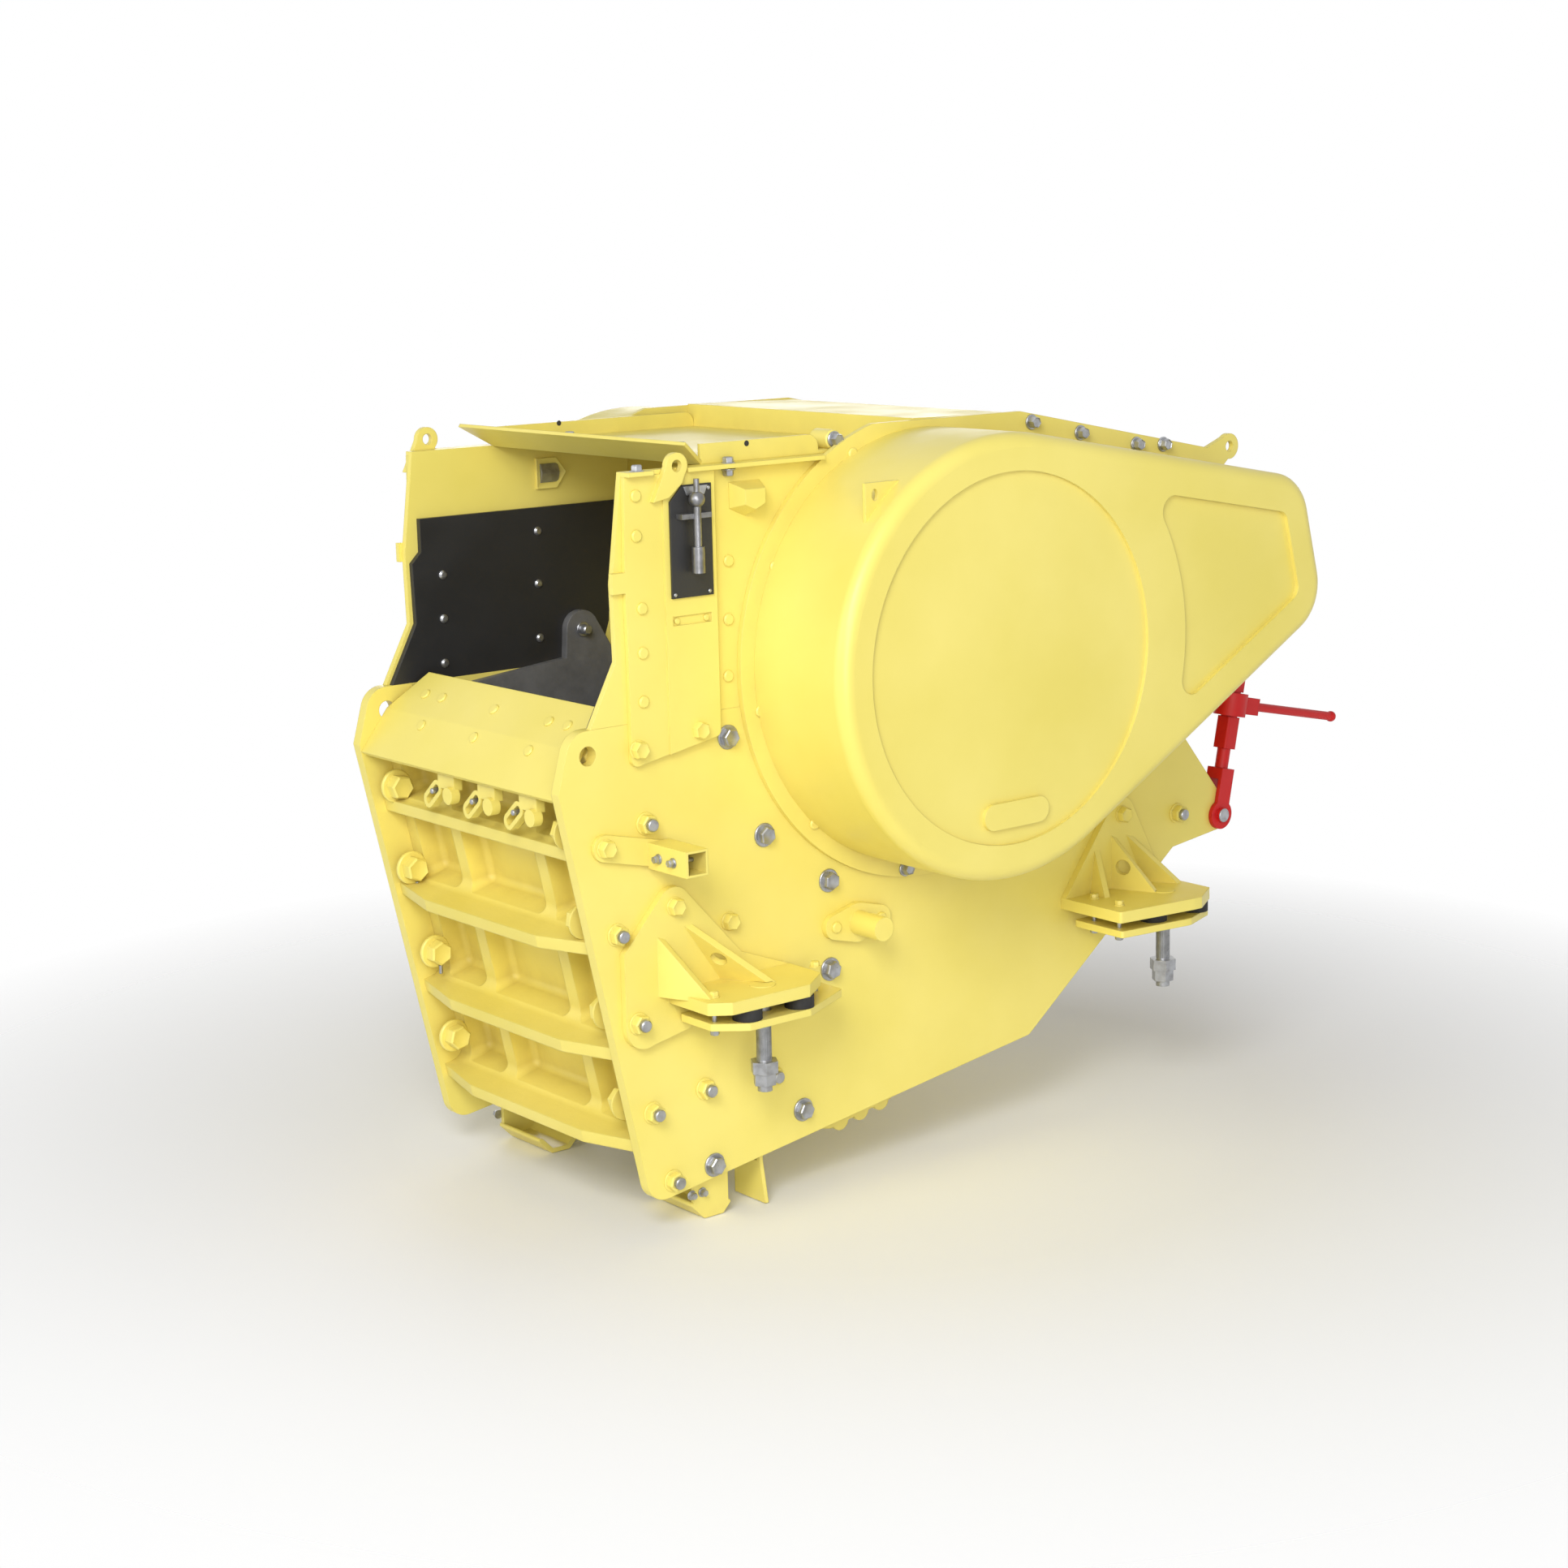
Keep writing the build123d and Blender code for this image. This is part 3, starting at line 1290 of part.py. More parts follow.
skirt_top_z = min(skirt_edge_z - skirt_gap, die_back_low.Y - skirt_clearance)
skirt_low_z = skirt_top_z - (skirt_drop - skirt_gap)
skirt_face = make_face(
    Polyline(
        (-inner_y, skirt_edge_z + skirt_rise),
        (-inner_y + skirt_thickness, skirt_edge_z + skirt_rise),
        (-inner_y + skirt_thickness, skirt_top_z),
        (-inner_y + skirt_width, skirt_top_z),
        (-inner_y + skirt_width, skirt_low_z),
        (-inner_y - skirt_flare, skirt_low_z),
        (-inner_y, skirt_top_z),
        close=True,
    )
)
skirt = extrude(Plane.YZ.offset(foot_x + skirt_lead) * skirt_face, amount=skirt_thickness)
save("discharge_deflector", trough, left_of(trough), skirt, left_of(skirt))
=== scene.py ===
import math
import bmesh
import bpy
from mathutils import Matrix, Vector


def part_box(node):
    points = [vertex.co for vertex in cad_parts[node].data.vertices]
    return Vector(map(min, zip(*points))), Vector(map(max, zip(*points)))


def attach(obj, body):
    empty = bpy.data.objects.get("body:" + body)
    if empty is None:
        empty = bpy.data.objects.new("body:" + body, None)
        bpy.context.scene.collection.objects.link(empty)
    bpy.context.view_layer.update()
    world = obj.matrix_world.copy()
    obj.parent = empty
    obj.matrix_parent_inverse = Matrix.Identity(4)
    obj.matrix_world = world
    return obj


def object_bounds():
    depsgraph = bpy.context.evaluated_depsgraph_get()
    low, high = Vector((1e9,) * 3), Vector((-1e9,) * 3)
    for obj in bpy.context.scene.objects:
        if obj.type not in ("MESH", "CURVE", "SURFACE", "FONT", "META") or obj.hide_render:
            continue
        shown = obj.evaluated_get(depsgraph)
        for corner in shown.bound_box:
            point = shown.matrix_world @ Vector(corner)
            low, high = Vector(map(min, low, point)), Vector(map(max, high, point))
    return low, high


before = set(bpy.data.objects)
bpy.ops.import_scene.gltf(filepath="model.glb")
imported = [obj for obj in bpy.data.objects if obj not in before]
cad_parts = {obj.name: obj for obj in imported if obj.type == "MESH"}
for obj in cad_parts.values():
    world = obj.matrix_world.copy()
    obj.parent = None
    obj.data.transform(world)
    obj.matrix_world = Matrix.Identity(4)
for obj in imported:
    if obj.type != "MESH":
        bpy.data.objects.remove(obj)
solid_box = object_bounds()

# Side plates: two flame-cut steel slabs, 40 mm thick, that carry everything else.
# They are shot-blasted and sprayed with pale lemon enamel, which dries to a fine orange peel.
# Wherever two pieces meet, and in recesses, the colour is darkened with painted shade.


def put(tree, kind, values=None, **settings):
    """Adds a shader node, sets its options and its unlinked inputs."""
    node = tree.nodes.new("ShaderNode" + kind)
    for name, value in settings.items():
        setattr(node, name, value)
    for name, value in (values or {}).items():
        node.inputs[name].default_value = value
    return node


def surface_group(name, inputs):
    """An empty shader group: its tree, what it is given, what it gives, and the place on the piece."""
    tree = bpy.data.node_groups.new(name, "ShaderNodeTree")
    outputs = {"Colour": "Color", "Roughness": "Float", "Relief": "Float"}
    for direction, sockets in (("INPUT", inputs), ("OUTPUT", outputs)):
        for socket, kind in sockets.items():
            tree.interface.new_socket(socket, in_out=direction, socket_type="NodeSocket" + kind)
    inlet = tree.nodes.new("NodeGroupInput")
    outlet = tree.nodes.new("NodeGroupOutput")
    return tree, inlet.outputs, outlet.inputs, put(tree, "TexCoord").outputs["Object"]


def mixed(tree, factor, first, second):
    """A colour between two others."""
    node = put(tree, "Mix", data_type="RGBA")
    for socket, value in (("Factor_Float", factor), ("A_Color", first), ("B_Color", second)):
        tree.links.new(value, next(i for i in node.inputs if i.identifier == socket))
    return next(o for o in node.outputs if o.identifier == "Result_Color")


def spread(tree, value, low, high, to_low=0.0, to_high=1.0):
    """A value moved from one range to another and held there."""
    node = put(tree, "MapRange", {"From Min": low, "From Max": high, "To Min": to_low, "To Max": to_high})
    tree.links.new(value, node.inputs["Value"])
    return node.outputs["Result"]


def times(tree, first, second):
    """Two values multiplied."""
    node = put(tree, "Math", operation="MULTIPLY")
    tree.links.new(first, node.inputs[0])
    tree.links.new(second, node.inputs[1])
    return node.outputs[0]


def noise(tree, place, scale, detail, roughness=0.5):
    """Cloudy noise on the piece's own coordinates."""
    node = put(tree, "TexNoise", {"Scale": scale, "Detail": detail, "Roughness": roughness})
    tree.links.new(place, node.inputs["Vector"])
    return node.outputs["Fac"]


paint_sockets = {"Enamel": "Color", "Shade_tint": "Color", "Shade_amount": "Float", "Gloss": "Float"}
sprayed, given, result, spot = surface_group("sprayed_enamel", paint_sockets)
deeper = put(sprayed, "HueSaturation", {"Value": 0.93, "Saturation": 1.05})
sprayed.links.new(given["Enamel"], deeper.inputs["Color"])
mottle = spread(sprayed, noise(sprayed, spot, scale=1.7, detail=4.0), low=0.35, high=0.68)
coat = mixed(sprayed, mottle, given["Enamel"], deeper.outputs["Color"])
# Painted shade: where ambient occlusion finds a corner, recess or joint, the coat is mixed in patches
# towards the darker shade tint.
corner = put(sprayed, "AmbientOcclusion", {"Distance": 0.11}, samples=6)
occluded = spread(sprayed, corner.outputs["AO"], low=0.25, high=0.95, to_low=1.0, to_high=0.0)
cloud = noise(sprayed, spot, scale=14.0, detail=5.0)
patchy = spread(sprayed, cloud, low=0.3, high=0.7, to_low=0.45)
corner_shade = times(sprayed, times(sprayed, occluded, patchy), given["Shade_amount"])
sprayed.links.new(mixed(sprayed, corner_shade, coat, given["Shade_tint"]), result["Colour"])
cloud = noise(sprayed, spot, scale=6.0, detail=3.0)
streak = spread(sprayed, cloud, low=0.3, high=0.7, to_low=0.85, to_high=1.2)
sprayed.links.new(times(sprayed, streak, given["Gloss"]), result["Roughness"])
sprayed.links.new(noise(sprayed, spot, scale=150.0, detail=2.0), result["Relief"])


def shaded(name, surface, values, bump, depth, rounding, metal=0.0):
    """A material whose colour, roughness and relief come from one of the surface groups."""
    material = bpy.data.materials.new(name)
    material.use_nodes = True
    tree = material.node_tree
    shader = tree.nodes["Principled BSDF"]
    shader.inputs["Metallic"].default_value = metal
    group = put(tree, "Group", node_tree=surface)
    for socket, value in values.items():
        group.inputs[socket].default_value = value
    tree.links.new(group.outputs["Colour"], shader.inputs["Base Color"])
    tree.links.new(group.outputs["Roughness"], shader.inputs["Roughness"])
    relief = put(tree, "Bump", {"Strength": bump, "Distance": depth})
    tree.links.new(group.outputs["Relief"], relief.inputs["Height"])
    edge = put(tree, "Bevel", {"Radius": rounding}, samples=4)
    tree.links.new(edge.outputs["Normal"], relief.inputs["Normal"])
    tree.links.new(relief.outputs["Normal"], shader.inputs["Normal"])
    return material


def dress(material, *nodes):
    """Gives carried-over solids their finish."""
    for node in nodes:
        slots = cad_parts[node].data.materials
        slots.clear()
        slots.append(material)


lemon = (0.905, 0.775, 0.195, 1)
# The darker brown is painted shade in corners and joints; 0.42 sets how strong it is.
lemon_shade_tint = (0.52, 0.40, 0.13, 1)
lemon_enamel = shaded(
    "lemon_enamel",
    sprayed,
    {"Enamel": lemon, "Shade_tint": lemon_shade_tint, "Shade_amount": 0.42, "Gloss": 0.38},
    bump=0.10,
    depth=0.0012,
    rounding=0.004,
)
dress(lemon_enamel, "right_side_plate", "left_side_plate")

# Plate bolts: rows of M36 screws tie the side plates to the front frame end, the cheek plates
# and the rear frame end. Some are zinc-plated on broad washers, some were painted over.
zinc_sockets = {"Metal": "Color", "Dull": "Color", "Gloss": "Float"}
zinc, given, result, spot = surface_group("zinc_plate", zinc_sockets)
tarnish = spread(zinc, noise(zinc, spot, scale=38.0, detail=5.0), low=0.4, high=0.7)
zinc.links.new(mixed(zinc, tarnish, given["Metal"], given["Dull"]), result["Colour"])
cloud = noise(zinc, spot, scale=70.0, detail=3.0)
satin = spread(zinc, cloud, low=0.3, high=0.7, to_low=0.8, to_high=1.25)
zinc.links.new(times(zinc, satin, given["Gloss"]), result["Roughness"])
zinc.links.new(noise(zinc, spot, scale=420.0, detail=3.0), result["Relief"])
zinc_steel = shaded(
    "zinc_steel",
    zinc,
    {"Metal": (0.44, 0.45, 0.47, 1), "Dull": (0.30, 0.30, 0.31, 1), "Gloss": 0.34},
    bump=0.12,
    depth=0.0006,
    rounding=0.0025,
    metal=0.85,
)


def pick(piece, direction):
    """Selects the faces of the piece in edit mode that face one way."""
    square_on = 0.9
    bpy.ops.mesh.select_mode(type="FACE")
    bpy.ops.mesh.select_all(action="DESELECT")
    shape = bmesh.from_edit_mesh(piece.data)
    for face in shape.faces:
        if face.normal.dot(Vector(direction)) > square_on:
            face.select_set(True)
    bmesh.update_edit_mesh(piece.data)


def joined(pieces, name):
    """Joins pieces into the first of them and names it."""
    bpy.ops.object.select_all(action="DESELECT")
    for piece in pieces:
        piece.select_set(True)
    bpy.context.view_layer.objects.active = pieces[0]
    if len(pieces) > 1:
        bpy.ops.object.join()
    pieces[0].name = name
    return pieces[0]


def standing(sides, radius, foot, height):
    """A bar of so many sides, upright on its foot, open in edit mode with its top selected."""
    bpy.ops.object.select_all(action="DESELECT")
    place = (0, 0, foot + height / 2)
    bpy.ops.mesh.primitive_cylinder_add(vertices=sides, radius=radius, depth=height, location=place)
    piece = bpy.context.object
    bpy.ops.object.transform_apply(location=True, rotation=False, scale=False)
    bpy.ops.object.mode_set(mode="EDIT")
    pick(piece, (0, 0, 1))
    return piece


def turned_disc(radius, thickness, edge, foot=0.0, sides=28):
    """A washer, boss or stud end turned on the lathe: its foot at a height, its top edge chamfered."""
    piece = standing(sides, radius, foot, thickness - edge)
    bpy.ops.mesh.extrude_region_move(TRANSFORM_OT_translate={"value": (0, 0, edge)})
    bpy.ops.transform.resize(value=(1 - edge / radius, 1 - edge / radius, 1))
    bpy.ops.object.mode_set(mode="OBJECT")
    return piece


def hexagon(across, height, foot, crown):
    """A hexagon head or nut: its corners chamfered into a round crown with a shallow dish."""
    crown_share, dish_rim, dish_depth = 0.86, 0.05, 0.35
    piece = standing(6, across / math.sqrt(3), foot, height)
    bpy.ops.mesh.extrude_region_move(TRANSFORM_OT_translate={"value": (0, 0, crown)})
    bpy.ops.transform.resize(value=(crown_share, crown_share, 1))
    bpy.ops.mesh.inset(thickness=across * dish_rim)
    bpy.ops.transform.translate(value=(0, 0, -crown * dish_depth))
    bpy.ops.object.mode_set(mode="OBJECT")
    return piece


def bolt_head(name, washer, thickness, edge, across, height, crown):
    """A hexagon head or nut on its washer, joined into one pattern."""
    parts = [turned_disc(washer, thickness, edge), hexagon(across, height, thickness, crown)]
    return joined(parts, name)


def set_out(name, pattern, places, facing):
    """Copies a pattern to each place, its foot on the surface that faces that way, and joins the copies."""
    first_turn, next_turn = 0.37, 0.83
    lean = Vector((0, 0, 1)).rotation_difference(Vector(facing)).to_matrix().to_4x4()
    copies = []
    for number, place in enumerate(places):
        copy = bpy.data.objects.new(name, pattern.data.copy())
        twist = Matrix.Rotation(first_turn + next_turn * number, 4, "Z")
        copy.data.transform(Matrix.Translation(place) @ lean @ twist)
        bpy.context.collection.objects.link(copy)
        copies.append(copy)
    return joined(copies, name)


def fit(piece, material, slot):
    """Finishes a piece of the frame: its material, smooth rounds and its body; the slot it is given is not
    used.
    """
    piece.data.materials.clear()
    piece.data.materials.append(material)
    bpy.ops.object.select_all(action="DESELECT")
    piece.select_set(True)
    bpy.context.view_layer.objects.active = piece
    bpy.ops.object.shade_smooth_by_angle(angle=math.radians(35))
    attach(piece, "frame")


def fasten(name, pattern, places, facing, finish):
    """Sets out a row of fasteners and finishes it, bare or painted over."""
    fit(set_out(name, pattern, places, facing), *finish)


def on_side(y, spots):
    """Places in an upright plane along the machine, from pairs of x and z."""
    return [(x, y, z) for x, z in spots]


bare = (zinc_steel, "bare_steel")
painted = (lemon_enamel, "yellow_paint")
both_sides = (("right", -1), ("left", 1))
plate_y = -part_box("right_side_plate")[0].y
washer_places = (
    (-0.874, 0.862), (-0.740, 0.529), (-0.481, 0.338), (-0.481, 0.042), (-0.606, -0.408), (-0.973, -0.511),
)
stud_places = (
    (-1.199, 0.636), (-1.320, 0.306), (-1.207, -0.287), (-1.137, -0.525),
    (-1.002, -0.252), (-0.732, -0.264), (1.137, 0.316),
)
head_places = ((-0.888, 0.274),)
washer_bolt = bolt_head(
    "washer_bolt", washer=0.039, thickness=0.006, edge=0.002, across=0.052, height=0.018, crown=0.004
)
nut = bolt_head("nut", washer=0.036, thickness=0.006, edge=0.002, across=0.054, height=0.022, crown=0.005)
stud_end = turned_disc(radius=0.0195, thickness=0.018, edge=0.003, foot=0.028)
painted_head = bolt_head(
    "painted_head", washer=0.031, thickness=0.004, edge=0.0015, across=0.050, height=0.020, crown=0.005
)
for side, sign in both_sides:
    outward, plane = (0, sign, 0), sign * plate_y
    fasten(side + "_plate_washer_bolts", washer_bolt, on_side(plane, washer_places), outward, bare)
    fasten(side + "_plate_nuts", nut, on_side(plane, stud_places), outward, painted)
    fasten(side + "_plate_stud_ends", stud_end, on_side(plane, stud_places), outward, bare)
    fasten(side + "_painted_heads", painted_head, on_side(plane, head_places), outward, painted)

# Front frame end: one ribbed steel casting between the side plates, drafted and filleted in the mould.
# Its sand-cast skin stays slightly rough under the enamel. Heavy bolts in its end walls draw the side
# plates in, and two on each side keep a bare lock pin.
cast, given, result, spot = surface_group("painted_casting", paint_sockets)
paint = put(cast, "Group", node_tree=sprayed)
for socket in paint_sockets:
    cast.links.new(given[socket], paint.inputs[socket])
for socket in ("Colour", "Roughness"):
    cast.links.new(paint.outputs[socket], result[socket])
cast.links.new(noise(cast, spot, scale=46.0, detail=6.0, roughness=0.62), result["Relief"])
# The casting takes a stronger painted shade, which darkens its pockets and the joints under its ribs.
cast_enamel = shaded(
    "cast_enamel",
    cast,
    {"Enamel": (0.895, 0.76, 0.19, 1), "Shade_tint": (0.44, 0.33, 0.10, 1), "Shade_amount": 0.7, "Gloss": 0.42},
    bump=0.22,
    depth=0.004,
    rounding=0.007,
)
dress(cast_enamel, "front_frame_end")


def put_away(*patterns):
    """Removes patterns that no later piece is copied from."""
    for pattern in patterns:
        bpy.data.objects.remove(pattern)


end_wall_y = 0.508
wall_bolt_places = ((-1.416, 0.626), (-1.373, 0.341), (-1.298, 0.039), (-1.240, -0.268))
pocket_places = ((-1.199, 0.379),)
pin_aside, pin_below, pin_inset = 0.012, 0.048, 0.018
pin_places = [(x + pin_aside, z - pin_below) for x, z in wall_bolt_places[1:3]]
wall_bolt = bolt_head(
    "wall_bolt", washer=0.056, thickness=0.012, edge=0.004, across=0.072, height=0.036, crown=0.007
)
lock_pin = turned_disc(radius=0.007, thickness=0.030, edge=0.002, sides=12)
for side, sign in both_sides:
    inward, plane = (0, -sign, 0), sign * end_wall_y
    fasten(side + "_casting_bolts", wall_bolt, on_side(plane, wall_bolt_places), inward, painted)
    fasten(side + "_pocket_nut", nut, on_side(plane, pocket_places), inward, painted)
    pins = on_side(sign * (end_wall_y - pin_inset), pin_places)
    fasten(side + "_lock_pins", lock_pin, pins, (0, 0, -1), bare)
put_away(wall_bolt, lock_pin)

# Feed lip: a 20 mm wear plate bent over the casting's top beam and held by countersunk plough bolts.
# Three clamps hang under its edge, each a loop beside a nut, with a plated pin through the loop.
dress(lemon_enamel, "feed_lip_plate")
plough = turned_disc(radius=0.019, thickness=0.006, edge=0.004, sides=20)
for row, x, z, degrees, across_lip in (
    ("low", -1.424, 0.8546, 52, (0.312, 0.0, -0.312)),
    ("high", -1.343, 0.9351, 42, (0.410, 0.309, 0.0, -0.309, -0.410)),
):
    slope = math.radians(degrees)
    heads = [(x, y, z) for y in across_lip]
    fasten(f"lip_{row}_bolts", plough, heads, (-math.sin(slope), 0, math.cos(slope)), painted)
clamp_pin = turned_disc(radius=0.0095, thickness=0.040, edge=0.003, sides=16)
clamp_places = [(-1.452, y, 0.669) for y in (-0.308, -0.074, 0.160)]
fasten("clamp_pins", clamp_pin, clamp_places, (-1, 0, 0), bare)
put_away(plough, clamp_pin)

# Jaw dies and cheek plates: manganese steel castings left bare, dark from the heat treatment.
# The dies are toothed from top to bottom, and each cheek plate hangs by a pin through its ear.
casting_sockets = {"Metal": "Color", "Scale": "Color", "Gloss": "Float"}
dark, given, result, spot = surface_group("cast_manganese", casting_sockets)
cloud = noise(dark, spot, scale=9.0, detail=7.0, roughness=0.6)
scaly = spread(dark, cloud, low=0.35, high=0.7)
dark.links.new(mixed(dark, scaly, given["Metal"], given["Scale"]), result["Colour"])
cloud = noise(dark, spot, scale=22.0, detail=4.0)
rough = spread(dark, cloud, low=0.3, high=0.7, to_low=0.85, to_high=1.15)
dark.links.new(times(dark, rough, given["Gloss"]), result["Roughness"])
dark.links.new(noise(dark, spot, scale=60.0, detail=7.0, roughness=0.6), result["Relief"])
manganese = shaded(
    "manganese_casting",
    dark,
    {"Metal": (0.200, 0.200, 0.204, 1), "Scale": (0.130, 0.129, 0.130, 1), "Gloss": 0.55},
    bump=0.25,
    depth=0.003,
    rounding=0.005,
    metal=0.25,
)
dress(manganese, "fixed_jaw_plate", "moving_jaw_plate", "right_cheek_plate", "left_cheek_plate")
cheek_y = 0.530
ear_places = ((-0.628, 1.061),)
ear_washer = turned_disc(radius=0.026, thickness=0.005, edge=0.002)
ear_pin = turned_disc(radius=0.017, thickness=0.030, edge=0.004, foot=0.005)
ear_bolt = joined([ear_washer, ear_pin], "ear_bolt")
for side, sign in both_sides:
    fasten(side + "_ear_bolt", ear_bolt, on_side(sign * cheek_y, ear_places), (0, -sign, 0), bare)
put_away(ear_bolt)

# Moving jaw: the pitman casting, its toggle plate and the rear frame end that takes the thrust.
# They are painted like the frame; the eccentric shaft is bare forged steel.
dress(cast_enamel, "pitman", "toggle_plate", "rear_frame_end")
dress(zinc_steel, "eccentric_shaft")

# Hopper: two plate walls with black-painted liner plates inside, each held by button-head bolts.
# Above each liner a five-sided frame surrounds the bare blade of a level sensor.
# Its shade tint is painted shade in the liners' corners and joints.
liner_black = shaded(
    "liner_black",
    sprayed,
    {"Enamel": (0.020, 0.020, 0.021, 1), "Shade_tint": (0.05, 0.046, 0.04, 1), "Shade_amount": 0.5, "Gloss": 0.46},
    bump=0.12,
    depth=0.0015,
    rounding=0.003,
)
dress(lemon_enamel, "right_hopper_wall", "left_hopper_wall")
dress(liner_black, "right_hopper_liner", "left_hopper_liner")
liner_y = 0.560
liner_places = (
    (-1.165, 1.299), (-1.168, 1.152), (-1.172, 1.002),
    (-0.780, 1.412), (-0.785, 1.232), (-0.787, 1.045), (-0.444, 1.408),
)
button = turned_disc(radius=0.015, thickness=0.010, edge=0.006, sides=18)
for side, sign in both_sides:
    fasten(side + "_liner_buttons", button, on_side(sign * liner_y, liner_places), (0, -sign, 0), bare)
put_away(button)


def block(name, corner, opposite):
    """A block between two corners, ready for shaping in edit mode."""
    bpy.ops.object.select_all(action="DESELECT")
    bpy.ops.mesh.primitive_cube_add(size=1, location=[(a + b) / 2 for a, b in zip(corner, opposite)])
    piece = bpy.context.object
    piece.name = name
    piece.scale = [abs(b - a) for a, b in zip(corner, opposite)]
    bpy.ops.object.transform_apply(location=True, rotation=False, scale=True)
    return piece


wall_y = plate_y - 0.020
window_front, window_back, window_point, point_share = -0.766, -0.685, 0.038, 0.06
window_low, window_high = 1.552, 1.656
window_middle = (window_low + window_high) / 2
window_depth, rim_width, rim_depth = 0.012, 0.016, 0.010
blade_front, blade_back, blade_margin = -0.748, -0.676, 0.020
blade_root, blade_top, ridge_height, ridge_share = 0.001, 0.005, 0.010, 0.04
for side, sign in both_sides:
    window = block(
        side + "_sensor_window",
        (window_front, sign * wall_y, window_low),
        (window_back, sign * (wall_y - window_depth), window_high),
    )
    bpy.ops.object.mode_set(mode="EDIT")
    pick(window, (1, 0, 0))
    bpy.ops.mesh.extrude_region_move(TRANSFORM_OT_translate={"value": (window_point, 0, 0)})
    bpy.ops.transform.resize(value=(1, 1, point_share), center_override=(0, 0, window_middle))
    pick(window, (0, -sign, 0))
    bpy.ops.mesh.inset(thickness=rim_width)
    bpy.ops.transform.translate(value=(0, sign * rim_depth, 0))
    bpy.ops.object.mode_set(mode="OBJECT")
    fit(window, *painted)
    blade = block(
        side + "_sensor_blade",
        (blade_front, sign * (wall_y - blade_root), window_low + blade_margin),
        (blade_back, sign * (wall_y - blade_top), window_high - blade_margin),
    )
    bpy.ops.object.mode_set(mode="EDIT")
    pick(blade, (0, -sign, 0))
    bpy.ops.mesh.extrude_region_move(TRANSFORM_OT_translate={"value": (0, -sign * ridge_height, 0)})
    bpy.ops.transform.resize(value=(1, 1, ridge_share), center_override=(0, 0, window_middle))
    bpy.ops.object.mode_set(mode="OBJECT")
    fit(blade, *bare)

# Hopper side panels: folded cover plates screwed over the joint of hopper wall and side plate.
# Their screws were painted over with the panels; the bolts through the top flange stayed bare.
# On the right a riveted black panel carries a ball-ended steel rod behind a small keeper plate.
dress(lemon_enamel, "right_hopper_panel", "left_hopper_panel", "right_sensor_cover", "left_sensor_cover")
dress(liner_black, "right_tool_panel")
dark_steel = shaded(
    "dark_steel",
    zinc,
    {"Metal": (0.25, 0.25, 0.26, 1), "Dull": (0.17, 0.17, 0.17, 1), "Gloss": 0.36},
    bump=0.12,
    depth=0.0006,
    rounding=0.002,
    metal=0.85,
)
dress(dark_steel, "right_tool_rod")
panel_y = plate_y + 0.018
panel_places = ((-1.210, 1.640), (-1.212, 1.520), (-1.199, 1.300), (-1.201, 1.165), (-1.204, 1.016))
wall_places = ((-0.854, 1.411), (-0.860, 1.230), (-0.866, 1.053))
foot_places = ((-1.230, 0.872), (-1.000, 0.903))
screw = turned_disc(radius=0.019, thickness=0.009, edge=0.004, sides=20)
for side, sign in both_sides:
    outward, plane = (0, sign, 0), sign * panel_y
    spots = on_side(plane, panel_places) + on_side(sign * plate_y, wall_places)
    fasten(side + "_panel_screws", screw, spots, outward, painted)
    fasten(side + "_panel_heads", painted_head, on_side(plane, foot_places), outward, painted)
tool_face_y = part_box("right_tool_panel")[0].y
rivet_places = ((-0.947, 1.646), (-0.951, 1.331), (-1.082, 1.330))
rivet = turned_disc(radius=0.006, thickness=0.003, edge=0.0015, sides=14)
fasten("tool_panel_rivets", rivet, on_side(tool_face_y, rivet_places), (0, -1, 0), bare)
keeper_thickness, keeper_foot_share = 0.004, 0.72
keeper = block(
    "tool_rod_keeper", (-1.043, tool_face_y, 1.628), (-0.952, tool_face_y - keeper_thickness, 1.655)
)
bpy.ops.object.mode_set(mode="EDIT")
pick(keeper, (0, 0, -1))
bpy.ops.transform.resize(value=(keeper_foot_share, 1, 1))
bpy.ops.object.mode_set(mode="OBJECT")
fit(keeper, *bare)
slot_places = ((-1.071, 1.249), (-0.960, 1.249))
slot_head = turned_disc(radius=0.010, thickness=0.008, edge=0.002, sides=18)
for side, sign in both_sides:
    fasten(side + "_slot_heads", slot_head, on_side(sign * panel_y, slot_places), (0, sign, 0), painted)
put_away(rivet, slot_head)
rim_y, flange_thickness = plate_y + 0.012, 0.014
rim_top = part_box("hopper_tray")[0].z
front_rim_x, back_rim_x = -1.197, -0.853
rim_bolt = bolt_head(
    "rim_bolt", washer=0.023, thickness=0.005, edge=0.002, across=0.031, height=0.013, crown=0.004
)
for side, sign, rim_x in (("right", -1, (front_rim_x, back_rim_x)), ("left", 1, (back_rim_x,))):
    heads = [(x, sign * rim_y, rim_top) for x in rim_x]
    fasten(side + "_rim_bolts", rim_bolt, heads, (0, 0, 1), bare)
    below = [(back_rim_x, sign * rim_y, rim_top - flange_thickness)]
    fasten(side + "_rim_nut", rim_bolt, below, (0, 0, -1), bare)

# Hopper tray: a folded sheet across the top, with a flared front lip and upturned sides.
# It is bolted down on the walls' top flanges, and a short pin on its right side has a dome nut.
dress(lemon_enamel, "hopper_tray", "roof_cover")
tray_thickness = 0.012
tray_floor = rim_top + tray_thickness
tray_places = [(-0.690, -0.150, tray_floor), (-0.660, 0.520, tray_floor)]
fasten("tray_bolts", rim_bolt, tray_places, (0, 0, 1), bare)
